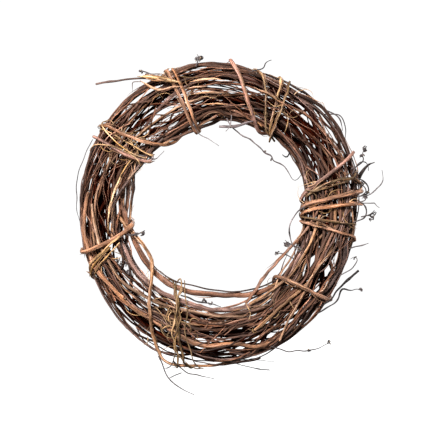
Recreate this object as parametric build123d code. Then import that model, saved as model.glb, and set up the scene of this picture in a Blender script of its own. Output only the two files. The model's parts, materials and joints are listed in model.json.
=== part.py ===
from build123d import *
import math
import os
import random

import numpy as np

# A wreath frame of dried grapevine: long vines coiled into a ring, bound by shorter vines wound across
# it, with twig ends and tendrils left standing out. All lengths are millimetres.
#
# The finished part's origin is the point on which it hangs: the lowest point of the innermost vine straight
# above the hole. X runs right, Y to the wall behind and Z up, so the ring's centre is HANG_RADIUS below.
# The layout code works from the ring's centre, and the solids are lowered once they are made.

# ---- The bundle's outline, read every 15 degrees counterclockwise from three o'clock, seen from the front
RING_INNER = [88, 92, 98, 100, 101, 101, 101, 96, 90, 92, 102, 95,
              95, 96, 98, 99, 97, 96, 97, 95, 92, 86, 84, 87]
RING_OUTER = [149, 155, 156, 155, 155, 156, 160, 159, 158, 154, 150, 147,
              146, 145, 147, 151, 156, 160, 160, 158, 153, 150, 146, 148]
HALF_DEPTH = [20, 18, 19, 21, 21, 20, 20, 19, 19, 20, 20, 20,
              20, 18, 18, 19, 21, 20, 21, 21, 20, 19, 20, 20]
HANG_RADIUS = 99.5  # the hook bears under the innermost vine, straight above the ring's centre

# ---- How the coiled vines are laid
STEP_DEG = 10.0  # a coiled vine has a joint every ten degrees of the ring
# Each kind: name, pieces, vines in a piece, first ring angle (none: spread round), sweep, radii, drift
VINE_KINDS = [
    ("coiled_vine", 10, 1, None, (690, 960), (0.95, 2.1), 1.6),
    ("single_vine", 13, 1, (232, 246), (298, 322), (0.9, 2.2), 1.8),
    ("thin_vines", 3, 10, None, (220, 520), (0.55, 1.0), 2.2),
]
LAY_SEED = 11
DRIFT_STEPS = (2, 6)  # a vine keeps its place in the bundle for about this many joints, and then drifts
KINK = 1.0  # sideways jog of a vine at its joints
TOUCH_GAP = 0.3  # clearance left between vines that lie against each other
PLACED_YIELD = 0.3  # how far the vines placed one by one give way, where a coiled vine's share is 1
SMOOTH_STEPS = 80
SMOOTHING = 0.15
OPEN_STEPS = 285  # after this many steps the gaps are no longer held open
HOMING_STEPS = 272  # until then the vines placed one by one are drawn back to their places
HOMING = 0.06
CLOSING_STEPS = 316  # until then the coiled ones are kept inside the outline
CLOSING = 0.6
RELAX_STEPS = 340
TIE_STEPS = 200
TIGHTENING = 0.05
LOOSE_STEPS = 400

# ---- Vines of the bundle that are placed one by one: name, radius, (ring angle, ring radius, depth)
# Depth is measured from the bundle's middle and grows towards the wall.
PLACED_VINES = [
    ("slack_inner_vine", 2.9, [(150, 112, 2), (170, 101, -2), (190, 93.5, -4), (199, 90, -5),
                               (210, 89.5, -5), (228, 89, -5), (238, 87, -4), (250, 86, -3),
                               (258, 84, -2), (270, 83, -2), (279, 85, -2), (288, 89, -3),
                               (294, 91.5, -4), (303, 93.5, -5), (315, 97, -6), (330, 104, -8),
                               (345, 112, -8), (360, 118, -6)]),
    ("crossing_vine", 1.6, [(180, 104, -10), (187, 96, -10), (194, 88, -10), (203, 81.5, -9),
                            (212, 81, -10), (220, 86, -14), (226, 97, -20), (230, 110, -24),
                            (234, 122, -25), (238, 138, -23), (241, 152, -13), (244, 159, -8),
                            (248, 162, -4), (254, 162, -2), (262, 160, 0), (272, 158, 2), (282, 155, 4),
                            (292, 152, 6)]),
    ("slack_thin_vine", 0.8, [(218, 85, -9), (230, 84.5, -10), (240, 81, -9), (250, 78, -7), (265, 78, -6),
                              (275, 80, -6), (287, 84, -8), (300, 88, -8), (315, 93, -5), (330, 99, -2)]),
    ("bottom_inner_vine", 2.4, [(180, 108, -6), (200, 104, -9), (215, 103, -10), (230, 101, -10),
                                (240, 98, -9), (250, 97, -8), (260, 98.5, -8), (270, 100, -8),
                                (285, 101, -9), (300, 101, -11), (315, 99, -12), (330, 97, -12),
                                (350, 100, -10)]),
    ("lower_left_tan_vine", 2.2, [(170, 136, -13), (185, 141, -12), (196, 140, -12), (204, 138, -14),
                                  (210, 136, -16), (217, 132, -17), (231, 128, -18.5), (248, 130, -18.5),
                                  (262, 136, -17), (276, 141, -15), (290, 142, -14), (305, 139, -12)]),
    ("lower_left_slim_vine", 1.5, [(175, 131, -17), (190, 127, -17), (200, 124, -17.5), (215, 121, -18),
                                   (220, 119, -18), (230, 113, -17), (240, 108, -15), (255, 104, -13),
                                   (270, 105, -13), (285, 110, -16)]),
    ("pale_stems", 0.9, [(140, 106, -17), (154, 108, -18), (165, 109, -18.5), (175, 112, -18.5),
                         (190, 115, -17)]),
    ("left_purple_vine", 1.2, [(125, 97, -9), (140, 96, -13), (150, 96, -14), (157, 98, -15),
                               (166, 103, -16.5), (175, 107, -17), (190, 110, -15), (205, 112, -13),
                               (220, 113, -11)]),
    ("left_dark_stems", 1.5, [(140, 104, -6), (150, 102, -8), (159, 97, -9), (165, 93, -9), (171, 91, -8),
                              (178, 91, -6), (190, 97, -4), (205, 103, -2)]),
    ("left_dark_stems", 0.9, [(134, 97, -13), (141, 95, -13), (149, 95.5, -13), (158, 98.5, -12),
                              (166, 104, -11), (174, 110, -10)]),
    ("top_outer_vines", 1.9, [(10, 146, -6), (20, 151, -5), (30, 152.5, -4), (40, 156, -3), (47, 157, -3),
                              (57, 154, -4), (64, 152.5, -4), (72, 155, -3), (80, 158, -2),
                              (88, 158.5, -2), (100, 158, -1), (112, 156, 0), (125, 154, 3),
                              (138, 148, 7), (150, 143, 10)]),
    ("top_outer_vines", 1.1, [(22, 150, 2), (35, 153.5, 1), (45, 160, 0), (54, 158.5, 0), (66, 157, 1),
                              (80, 156.5, 2), (92, 159.5, 2), (101, 160, 2), (112, 157.5, 4), (125, 154, 7),
                              (140, 148, 11)]),
    ("lower_right_outer_vine", 2.9, [(290, 144, -2), (303, 139, -7), (312, 134, -10), (320, 133, -11),
                                     (329, 138, -10), (334, 142, -9), (339, 142, -9), (345, 138, -9),
                                     (355, 137, -8), (370, 140, -5)]),
    ("lower_right_front_vine", 1.5, [(290, 99, -14), (300, 97.5, -15), (310, 98, -16), (325, 99, -17),
                                     (337, 100, -17), (349, 103, -17.5), (360, 107, -18)]),
    ("lower_right_curved_vine", 1.0, [(295, 142, -15), (305, 135, -18), (312, 127, -20), (319, 120, -20.5),
                                      (326, 116.5, -21), (334, 117, -21), (341, 123, -20), (347, 133, -18),
                                      (355, 141, -12)]),
    ("lower_right_cut_vine", 1.6, [(288, 126, -20.5), (298, 119, -20.5), (305, 116, -20), (312, 115, -19.5),
                                   (320, 118, -18.5), (335, 124, -18), (350, 127, -18), (365, 124, -18)]),
    ("inner_bridging_vine", 1.5, [(288, 97, -5), (297, 88.5, -8), (304, 82, -9), (314, 79, -9),
                                  (326, 80, -9), (336, 84, -9), (346, 90, -11), (355, 99, -14),
                                  (365, 108, -17), (380, 118, -18)]),
    ("hanging_vine", 2.0, [(50, 105, 4), (60, 103, 3), (70, 102, 1), (80, 101.85, 0), (90, 101.85, 0),
                           (100, 101.85, 0), (110, 98.5, 0), (120, 94.5, 0), (130, 95, 1), (140, 98, 2),
                           (150, 101, 3), (160, 99, 4)]),
]

# ---- Gaps that show daylight right through the bundle: (ring angle, ring radius, half width)
GAPS = [
    (12, 151, 0.9), (17, 146, 0.8), (21, 147, 0.9), (29, 150.5, 1.1), (36, 149, 1.5), (42, 151.5, 2.2),
    (46, 150, 2), (51, 145, 0.9), (56, 128, 0.9), (58, 146, 1), (77, 136, 0.8), (87, 142.5, 0.8),
    (97, 155.5, 0.9), (112, 114, 1), (117.5, 113, 1.5), (118, 104.5, 1.9), (119.5, 149, 1.2),
    (123, 112, 1.3), (124.5, 105.5, 2.5), (126, 149, 1.3), (129, 104.5, 2.5), (131.5, 147, 1.2),
    (132, 136.5, 1.2), (133.5, 105, 1.2), (134, 119, 0.9), (148, 99, 1.2), (153, 100, 1.1),
    (164, 116, 0.9), (166, 107, 1.1), (168, 98, 1), (174, 105, 1.3), (186, 112, 0.9), (193, 99, 1.4),
    (197, 97.5, 1.9), (199, 112, 1.1), (201.5, 95.5, 2), (205, 96, 1.4), (205.5, 113, 2.8),
    (209.5, 110, 2.6), (216, 108.5, 1.5), (219.5, 113, 1.2), (223, 107.5, 1), (223, 124, 0.8),
    (232, 104, 1), (229, 126, 0.8), (234, 147.5, 1.3), (238, 148, 1), (245, 154, 1.1), (251, 159, 0.9),
    (266, 132.5, 1.1), (271.5, 131.5, 1.3), (263, 140.5, 0.9), (272, 143, 1), (276, 131, 1),
    (275, 149, 0.9), (281, 141, 0.9), (284, 155, 1.4), (288, 140.5, 0.9), (294, 137.5, 1),
    (299, 138, 1.1), (304, 135, 1.4), (309, 132, 1.2), (324, 130, 2.5), (328.5, 108.5, 1.2),
    (333, 130.5, 3), (334.5, 109.5, 1.9), (336, 124, 1.3), (337.5, 132.5, 2.1), (341, 133.5, 1.3),
    (358, 126, 0.8),
]
GAP_DEPTHS = (-27, -13.5, 0, 13.5, 27)  # each gap is kept clear as if a rod went through it

# ---- Ties: shorter vines wound across the bundle. Each is a list of (direction, ring angle), the direction
# running round the bundle's own cross-section: 0 outer edge, 90 front, 180 hole side, 270 wall side.
TIES = [
    ("tie_upper_left_outer", 1.9, [(5, 147.5), (30, 147.5), (60, 147), (90, 146), (120, 144.5),
                                   (150, 142), (180, 139), (225, 135), (270, 133)]),
    ("tie_upper_left_inner", 1.7, [(-60, 144), (-30, 143), (0, 142), (40, 141), (70, 140), (100, 138),
                                   (125, 135), (145, 131), (163, 126), (176, 120), (190, 114), (225, 110)]),
    ("ties_top_left", 1.5, [(-10, 110), (10, 109.7), (50, 108.6), (90, 107.4), (130, 106), (170, 105),
                            (210, 104), (250, 102.5), (290, 101)]),
    ("ties_top_left", 1.2, [(0, 106.6), (20, 106.4), (60, 105.6), (100, 104.4), (140, 103), (180, 102),
                            (220, 101), (260, 100)]),
    ("tie_top_right", 1.9, [(30, 85.5), (60, 80.5), (90, 75), (120, 70), (150, 65),
                            (180, 60.5), (215, 57), (250, 54), (290, 51), (320, 49)]),
    ("tie_right_upper", 2.0, [(5, 24.6), (30, 24), (60, 22.7), (90, 20.7), (120, 17.5), (150, 13),
                              (180, 9), (210, 5), (245, 2), (280, 0), (315, -2)]),
    ("ties_right_middle", 2.0, [(-50, 10), (-15, 9), (20, 9.2), (55, 9.8), (90, 9), (120, 7.5), (150, 5.5),
                               (180, 3.5), (215, 1.5), (250, 0), (290, -2), (320, -4)]),
    ("ties_right_middle", 1.8, [(-45, 5), (-10, 4.6), (30, 5.2), (60, 5.6), (90, 5.2), (120, 4), (150, 1.5),
                                      (180, -1), (215, -3), (250, -5), (285, -6)]),
    ("tie_right_lower", 1.3, [(-60, -12), (-20, -9), (20, -8.5), (60, -8.5), (90, -8), (120, -6.5),
                              (150, -5), (180, -3), (215, -2), (255, -3), (295, -6)]),
    ("tie_lower_right", 1.8, [(-60, 326), (-20, 324.5), (10, 323.4), (45, 322), (75, 320.3), (105, 318.8),
                              (135, 316.6), (165, 313.5), (195, 310.5), (230, 308), (270, 307),
                              (310, 307)]),
    ("tie_left", 2.0, [(-50, 193), (-15, 195), (20, 196.6), (50, 196.8), (85, 195.6), (115, 193.3),
                       (145, 189.7), (175, 185.5), (205, 182), (240, 180), (280, 179), (320, 179)]),
]
OVER_THE_TIES = ("inner_bridging_vine", "slack_thin_vine", "left_dark_stems")
FREE_ENDS = ("tie_upper_left_outer", "tie_right_upper")  # these start beyond the ring's outer edge
FINE_TIES = [
    ("fine_ties_left", [
        (1.1, [(-50, 209), (-15, 207.5), (20, 205.5), (50, 202), (80, 199.3), (105, 196)]),
        (1.0, [(-30, 206), (5, 204.5), (35, 201), (65, 198.3), (92, 195.3), (112, 192)]),
        (0.7, [(15, 208), (45, 206), (75, 203), (100, 199), (118, 196)]),
    ]),
    ("fine_ties_top", [
        (1.0, [(-30, 77), (0, 75.5), (35, 72.5), (65, 68), (95, 64), (125, 61), (155, 57.5), (185, 55)]),
        (1.1, [(-40, 66.5), (0, 65.5), (35, 64.4), (70, 62.8), (100, 60.8), (130, 57.5), (165, 54),
               (190, 52)]),
        (1.0, [(-45, 61), (-10, 62.5), (25, 61.6), (60, 59.8), (95, 58), (130, 56), (160, 54.6),
               (185, 54)]),
        (0.8, [(-30, 145), (0, 143.5), (40, 142.5), (80, 141), (115, 140), (150, 139), (185, 136)]),
        (0.6, [(-10, 153), (20, 150.5), (50, 146), (80, 144.5), (110, 142.5), (140, 144), (165, 148)]),
        (0.7, [(-20, 139), (10, 140), (40, 143), (70, 146.5), (100, 148.5), (125, 146), (150, 141)]),
    ]),
    ("fine_ties_right", [
        (1.4, [(-60, 9), (-25, 10.5), (5, 13), (35, 15.5), (65, 17), (90, 17.2), (115, 15.5), (140, 12)]),
        (1.0, [(5, -4), (20, -4.3), (45, -4.5), (80, -4), (110, -3), (140, -1)]),
        (0.8, [(0, 20), (30, 17.5), (60, 14), (90, 11.8), (120, 12.5), (150, 16)]),
    ]),
    ("fine_ties_lower_left", [
        (1.0, [(200, 232), (170, 236), (140, 240), (115, 246.5), (90, 251.5), (60, 254.5), (30, 257),
               (0, 259.5), (-30, 262)]),
        (0.8, [(205, 235), (175, 238.5), (145, 241), (118, 244.5), (92, 249), (62, 254), (32, 255.5),
               (0, 256), (-30, 256)]),
        (0.7, [(200, 239.5), (170, 240.5), (140, 243), (112, 247.5), (86, 250), (58, 250.5), (28, 252),
               (0, 255)]),
        (0.7, [(195, 242.5), (165, 241.5), (138, 242), (110, 243), (85, 246.5), (58, 250), (30, 254),
               (5, 259), (-20, 264)]),
        (0.6, [(185, 244), (155, 244.5), (128, 246), (102, 252.5), (76, 257.5), (48, 259.5), (20, 262),
               (-10, 265)]),
    ]),
]
TIE_STEP = 22.0  # degrees of direction between a tie's joints
TUCK = 5.0  # how far a tie's ends turn in under the vines
END_REACH = 0.35  # how far a tie runs on past its last corner, as a share of its last stretch
FREE_REACH = 0.6
TIE_WINDOW = 5.5  # a tie bears on what passes within this many millimetres of it along the ring

# ---- Loose ends: name, radius and points, each x to the right of and z above the ring's centre, and depth
TWIGS = [
    ("twigs_top_left", 1.0, [(-127, 137, -5), (-118, 138.5, -6), (-107, 140, -7), (-95, 142, -9),
                             (-83, 142.5, -12), (-70, 142, -15), (-58, 141.5, -17), (-46, 139, -18)]),
    ("pale_stems", 1.9, [(-38, 137.5, -23.5), (-48, 139.5, -23.5), (-59, 141.5, -22.5), (-70, 143.5, -20),
                         (-83, 144.5, -16)]),
    ("spike_right", 2.2, [(144, 28, 16), (147, 33.5, 14), (149.5, 39, 12), (152, 44.5, 10), (156, 49.5, 8),
                          (161, 53.5, 7), (166, 55.5, 6)]),
    ("twigs_below", 1.6, [(104, -97, -13), (114, -91, -13), (122, -82, -12), (130, -74, -11),
                          (136, -68, -10), (142, -63.5, -9), (148, -58, -8)]),
    ("twigs_below", 0.7, [(8, -150, -13), (22, -156, -12), (36, -159.5, -10), (55, -162, -9)]),
    ("twigs_below", 0.6, [(22, -150, -16), (34, -151, -15), (46, -151.5, -13), (60, -152.5, -11)]),
]
TENDRILS = [
    ("tendrils_in_the_hole", [
        (0.45, [(10, 101, -10), (14, 94, -10), (20, 88, -10), (26, 82, -10), (34, 80, -9), (39, 75, -9),
                (46, 71, -9), (50, 64, -9), (57, 62, -9), (58, 57, -9), (65, 54, -9), (71, 50, -9),
                (76, 43, -9), (79, 37, -9), (83, 36, -9), (89, 44, -9), (96, 47, -10)]),
        (0.4, [(-22, 104, -12), (-25, 97, -12), (-27, 91, -12), (-18, 83, -12), (-4, 77, -12),
               (2, 72, -12)]),
        (0.9, [(2, 92, -14), (14, 92, -14), (26, 94, -15), (38, 98, -16)]),
        (0.5, [(15, 104, -17), (15, 98, -16.5), (14, 92, -16), (9, 87, -16)]),
        (0.5, [(-90, 62, -14), (-80, 62, -13), (-72, 61, -12), (-67, 58, -12), (-61, 60, -12),
               (-55, 67, -12)]),
        (0.6, [(-98, -20, -14), (-92, -21, -13), (-87, -20, -12), (-81, -19, -12), (-75, -16, -12)]),
        (0.45, [(92, 9, -12), (85, 5, -12), (80, -1, -12), (76, -11, -12), (75, -21, -12), (78, -31, -12),
                (86, -38, -13)]),
        (0.5, [(88, -36, -8), (81, -33, -8), (74, -30, -8), (71, -26, -8)]),
        (0.5, [(80, -46, -6), (72, -42, -6), (64, -39, -6), (60, -41, -6)]),
        (0.6, [(76, 66, -13), (74, 61, -13), (71, 60, -13), (68, 63, -13)]),
        (0.5, [(-38, -84, -9), (-30, -87, -8), (-22, -90, -7), (-14, -91, -7), (-6, -93, -7),
               (4, -96, -8)]),
    ]),
    ("tendrils_outside", [
        (0.5, [(-60, -146, -8), (-57, -157, -7), (-50, -173, -6), (-39, -181, -6), (-24, -188, -7)]),
        (0.45, [(-46, -152, -9), (-34, -164, -9), (-20, -168, -9), (-3, -171, -9)]),
        (0.5, [(56, -136, -12), (66, -140, -13), (75, -143, -13), (84, -141, -13), (93, -142, -13),
               (103, -140, -13), (110, -137, -12), (118, -133, -12)]),
        (0.5, [(104, -103, -10), (119, -96, -10), (126, -89, -10), (128, -79, -10), (132, -76, -10),
               (140, -80, -10), (146, -77, -10), (151, -78, -10)]),
        (0.45, [(128, -63, -14), (138, -59, -14), (144, -50, -14), (146, -46, -14), (143, -43, -14),
                (139, -46, -14)]),
        (0.5, [(140, 48, -12), (148, 52, -12), (153, 58, -12), (151, 63, -12), (154, 69, -12)]),
        (0.5, [(142, -8, -11), (147, -6, -12), (155, -3, -12), (157, 4, -12), (153, 12, -12),
               (147, 16, -11)]),
        (0.4, [(147, 19, -13), (156, 20, -13), (164, 24, -13), (171, 32, -12), (174, 40, -12),
               (172, 47, -12)]),
        (0.5, [(150, -2, -13), (156, -1, -14), (161, 1, -14), (164, 5, -14)]),
        (0.5, [(36, 150, -9), (44, 152, -9), (49, 154, -9), (51, 160, -9), (57, 162, -9)]),
        (0.5, [(-22, 155, -8), (-20, 161, -8), (-18, 165, -8), (-21, 168, -8)]),
        (0.45, [(113, 106, 6), (121.5, 107, 6), (130, 105, 5), (134.5, 98, 6), (135.5, 90, 6), (134, 83, 6),
                (132, 73, 6)]),
        (0.55, [(115, 109, -9), (121, 106, -9), (127, 102, -9), (131, 95, -10), (131, 88, -11)]),
        (0.45, [(150, 12, -12), (157, 12, -12), (165, 13.5, -12), (166, 9.5, -12), (169.5, 7.5, -12)]),
        (0.45, [(141, 43, -14), (145.5, 50, -15), (149, 55, -15), (154.5, 56, -15), (158, 51.5, -15),
                (157.5, 46, -15)]),
        (0.5, [(138, -35, -12), (148, -32.5, -11), (158, -29.5, -11)]),
        (0.35, [(-130, 79, -8), (-139, 62, -9), (-145.5, 42, -9), (-147.5, 22, -9), (-146.5, 5, -8),
                (-143, -8, -8)]),
        (0.5, [(-79, 151, -4), (-72, 148, -5), (-64, 148, -6), (-54, 147, -7)]),
    ]),
]


def around(values, angle):
    """A value listed at even steps round the ring, at any angle."""
    marks = np.arange(0, 360, 360 / len(values))
    return np.interp(np.asarray(angle, float) % 360, marks, values, period=360)


def ring_point(angle, reach, depth):
    """Ring angle in degrees, ring radius and depth as x right, y to the wall and z up, from the centre."""
    turn = np.radians(angle)
    return np.column_stack([reach * np.cos(turn), depth * np.ones_like(turn), reach * np.sin(turn)])


class Vine:
    """A vine as the control points of its centre line, with how far others may push it: 0 fixed, 1 free."""

    def __init__(self, name, radius, points, yields, closes_in=False):
        self.name = name
        self.radius = radius
        self.points = np.array(points, float)
        self.yields = yields
        self.closes_in = closes_in  # kept inside the bundle's outline


def curve_knots(points):
    """The centre line at every control point and half way between: a quadratic B-spline's own values."""
    middles = (points[:-1] + points[1:]) / 2
    knots = np.empty((2 * len(points) - 1, 3))
    knots[1::2] = middles
    knots[0], knots[-1] = points[0], points[-1]
    knots[2:-1:2] = (points[:-2] + 6 * points[1:-1] + points[2:]) / 8
    return knots


def drifting_place(rng, count, drift):
    """A place in the bundle's cross-section, in a unit disc, that wanders slowly along a vine."""
    def spot():
        reach, turn = math.sqrt(rng.random()), rng.uniform(0, 2 * math.pi)
        return np.array([reach * math.cos(turn), reach * math.sin(turn)])

    marks, spots = [0], [spot()]
    while marks[-1] < count:
        marks.append(marks[-1] + rng.randint(*DRIFT_STEPS))
        moved = spots[-1] + drift * spot()
        spots.append(moved / max(1.0, np.linalg.norm(moved)))
    spots = np.array(spots)
    at = np.arange(count)
    before = np.searchsorted(marks, at, side="right") - 1
    share = (at - np.array(marks)[before]) / np.diff(marks)[before]
    share = (share * share * (3 - 2 * share))[:, None]
    return spots[before] * (1 - share) + spots[before + 1] * share


def coiled_vines(rng):
    """The vines that wander through the bundle: some wound round two or three times, others laid once."""
    vines = []
    for kind, pieces, each, starts, sweeps, (thin, thick), drift in VINE_KINDS:
        for number in range(pieces * each):
            spread = 360 * (number * 0.618034 % 1)
            first = rng.uniform(*starts) if starts else round(spread / STEP_DEG) * STEP_DEG
            angle = first + STEP_DEG * np.arange(round(rng.uniform(*sweeps) / STEP_DEG) + 1)
            radius = round(thin + (thick - thin) * rng.random() ** 1.5, 2)
            place = drifting_place(rng, len(angle), drift)
            inner, outer, deep = (around(v, angle) for v in (RING_INNER, RING_OUTER, HALF_DEPTH))
            reach = (inner + outer) / 2 + place[:, 0] * (outer - inner) / 2
            points = ring_point(angle, reach, place[:, 1] * deep)
            vines.append(Vine(f"{kind}_{number // each + 1:02d}", radius, points, 1.0, True))
    return vines


def placed_vines():
    """The vines placed one by one, with a joint at every step of the ring like the coiled ones."""
    vines = []
    for name, radius, path in PLACED_VINES:
        path = np.array(path, float)
        angle = np.linspace(path[0, 0], path[-1, 0], round((path[-1, 0] - path[0, 0]) / STEP_DEG) + 1)
        reach, depth = (np.interp(angle, path[:, 0], path[:, k]) for k in (1, 2))
        fixed = name == "hanging_vine"
        vines.append(Vine(name, radius, ring_point(angle, reach, depth), 0.0 if fixed else PLACED_YIELD))
    return vines


def gap_rods():
    """A fixed rod through each gap, round which the vines are laid."""
    depths = np.array(GAP_DEPTHS, float)
    return [Vine("gap", wide, ring_point(angle + 0 * depths, reach, depths), 0.0)
            for angle, reach, wide in GAPS]


def closest(p, d, q, e):
    """Shares along the segments p to p + d and q to q + e where each is closest to the other."""
    r = p - q
    dd, ee, de = (d * d).sum(1), (e * e).sum(1), (d * e).sum(1)
    dr, er = (d * r).sum(1), (e * r).sum(1)
    s = np.clip((de * er - dr * ee) / np.maximum(dd * ee - de * de, 1e-6), 0, 1)
    t = np.clip((de * s + er) / ee, 0, 1)
    s = np.clip((de * t - dr) / dd, 0, 1)
    return s, t


class Crowd:
    """All vines at once, as arrays, so that they can be pushed apart together."""

    def __init__(self, vines):
        self.vines = vines
        count = np.array([len(v.points) for v in vines])
        self.place = np.vstack([v.points for v in vines])
        self.home = self.place.copy()
        self.owner = np.repeat(np.arange(len(vines)), count)
        self.radius = np.repeat([v.radius for v in vines], count)
        self.yields = np.repeat([v.yields for v in vines], count)[:, None]
        self.closes_in = np.repeat([v.closes_in for v in vines], count)
        same = self.owner[1:] == self.owner[:-1]
        self.inside = np.flatnonzero(same[1:] & same[:-1]) + 1
        # half runs: from a control point to the middle of the next run, and from there to the next point
        run = np.flatnonzero(same)
        self.start = np.repeat(run, 2)
        self.second = np.tile([0, 1], len(run))
        self.pairs = None

    def knots(self):
        """Both ends of every half run, on the curve."""
        p = self.place
        q = p.copy()
        q[self.inside] = (p[self.inside - 1] + 6 * p[self.inside] + p[self.inside + 1]) / 8
        middle = (p[self.start] + p[self.start + 1]) / 2
        late = self.second[:, None] == 1
        return np.where(late, middle, q[self.start]), np.where(late, q[self.start + 1], middle)

    def find_pairs(self, reach):
        """Pairs of half runs of different vines, or far apart on one, that are nearly touching."""
        a, b = self.knots()
        middle, along = (a + b) / 2, b - a
        half = np.sqrt((along * along).sum(1)) / 2
        radius, owner = self.radius[self.start], self.owner[self.start]
        cell = 24.0
        key = np.floor(middle / cell).astype(int)
        code = (key[:, 0] * 1000 + key[:, 1]) * 1000 + key[:, 2]
        order = np.argsort(code, kind="stable")
        codes = code[order]
        found = []
        for dx in (-1, 0, 1):
            for dy in (-1, 0, 1):
                for dz in (-1, 0, 1):
                    near = code + (dx * 1000 + dy) * 1000 + dz
                    low = np.searchsorted(codes, near, "left")
                    high = np.searchsorted(codes, near, "right")
                    many = high - low
                    one = np.repeat(np.arange(len(code)), many)
                    skip = np.cumsum(many) - many
                    two = order[np.repeat(low - skip, many) + np.arange(many.sum())]
                    keep = one < two
                    one, two = one[keep], two[keep]
                    apart = middle[one] - middle[two]
                    limit = half[one] + half[two] + radius[one] + radius[two] + reach
                    keep = (apart * apart).sum(1) < limit * limit
                    keep &= (owner[one] != owner[two]) | (np.abs(one - two) > 12)
                    keep &= (self.yields[self.start[one], 0] > 0) | (self.yields[self.start[two], 0] > 0)
                    found.append(np.column_stack([one[keep], two[keep]]))
        pairs = np.vstack(found)
        one, two = pairs[:, 0], pairs[:, 1]
        s, t = closest(a[one], along[one], a[two], along[two])
        apart = a[one] + s[:, None] * along[one] - a[two] - t[:, None] * along[two]
        keep = np.sqrt((apart * apart).sum(1)) < radius[one] + radius[two] + reach
        self.pairs = pairs[keep]

    def overlaps(self):
        """How far each pair of half runs is into the other, and the way out."""
        a, b = self.knots()
        along = b - a
        one, two = self.pairs[:, 0], self.pairs[:, 1]
        s, t = closest(a[one], along[one], a[two], along[two])
        apart = a[one] + s[:, None] * along[one] - a[two] - t[:, None] * along[two]
        far = np.sqrt((apart * apart).sum(1)) + 1e-9
        over = self.radius[self.start[one]] + self.radius[self.start[two]] - far
        return one, two, s, t, apart / far[:, None], over

    def push(self, gap):
        """Moves what is closer than the gap apart, each by its share."""
        one, two, s, t, way, over = self.overlaps()
        hit = over > -gap
        one, two, s, t, way, over = one[hit], two[hit], s[hit], t[hit], way[hit], over[hit] + gap
        give_one, give_two = self.yields[self.start[one], 0], self.yields[self.start[two], 0]
        total = give_one + give_two
        shift = np.zeros_like(self.place)
        for run, share, give, sign in ((one, s, give_one, 1), (two, t, give_two, -1)):
            move = sign * way * (over * give / total)[:, None]
            late = (self.second[run] + share) / 2  # how far along the whole run, as a share of it
            for axis in range(3):
                shift[:, axis] += np.bincount(self.start[run], move[:, axis] * (1 - late), len(shift))
                shift[:, axis] += np.bincount(self.start[run] + 1, move[:, axis] * late, len(shift))
        self.place += 0.5 * shift
        return over.max() if len(over) else 0.0

    def smooth(self, share):
        bend = (self.place[self.inside - 1] + self.place[self.inside + 1]) / 2 - self.place[self.inside]
        free = (self.yields[self.inside, 0] == 1)[:, None]
        # a coiled vine should keep the ring's own curve, so only the change of bend is smoothed away
        turn = self.place[self.inside] * [1, 0, 1] * (math.cos(math.radians(STEP_DEG)) - 1)
        self.place[self.inside] += share * (bend - turn) * free

    def close_in(self):
        """Draws the coiled vines back inside the bundle's outline."""
        angle = np.degrees(np.arctan2(self.place[:, 2], self.place[:, 0]))
        reach = np.hypot(self.place[:, 0], self.place[:, 2])
        inner, outer, deep = (around(v, angle) for v in (RING_INNER, RING_OUTER, HALF_DEPTH))
        middle, half = (inner + outer) / 2, (outer - inner) / 2 - self.radius
        deep = deep - self.radius
        u, v = (reach - middle) / half, self.place[:, 1] / deep
        beyond = np.hypot(u, v)
        scale = np.where(self.closes_in & (beyond > 1), 1 + CLOSING * (1 / np.maximum(beyond, 1) - 1), 1.0)
        reach = np.where(scale < 1, middle + u * scale * half, reach)
        depth = np.where(scale < 1, v * scale * deep, self.place[:, 1])
        self.place = ring_point(angle, reach, depth)

    def done(self):
        at = 0
        for v in self.vines:
            v.points = self.place[at:at + len(v.points)].copy()
            at += len(v.points)


def lay_bundle():
    """The coiled and placed vines, pushed apart until they only lie against each other."""
    rng = random.Random(LAY_SEED)
    vines = coiled_vines(rng) + placed_vines()
    crowd = Crowd(vines + gap_rods())
    kinks = np.array([[rng.gauss(0, KINK) for _ in range(3)] for _ in range(len(crowd.place))])
    for step in range(RELAX_STEPS):
        if step % 12 == 0:
            crowd.find_pairs(2.5)
        if step == SMOOTH_STEPS:
            crowd.place += kinks * (crowd.yields == 1)
        if step == OPEN_STEPS:
            crowd.radius *= crowd.owner < len(vines)
        crowd.push(TOUCH_GAP)
        if step < SMOOTH_STEPS:
            crowd.smooth(SMOOTHING)
        if step < HOMING_STEPS:
            crowd.place += HOMING * (crowd.home - crowd.place) * (crowd.yields == PLACED_YIELD)
        if step < CLOSING_STEPS:
            crowd.close_in()
    crowd.done()
    return vines


def hull_reach(beads, angle, direction, radius):
    """How far out a tie's centre line lies from the bundle's middle, facing a direction."""
    turn, facing = math.radians(angle), math.radians(direction)
    middle = (around(RING_INNER, angle) + around(RING_OUTER, angle)) / 2
    across = beads[:, :3] @ np.array([math.cos(turn), 0, math.sin(turn)])
    along = beads[:, :3] @ np.array([-math.sin(turn), 0, math.cos(turn)])
    near = (np.abs(along) < TIE_WINDOW) & (across > 0)
    out = (across - middle) * math.cos(facing) - beads[:, 1] * math.sin(facing) + beads[:, 3]
    return out[near].max() + radius + TOUCH_GAP, middle


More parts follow.
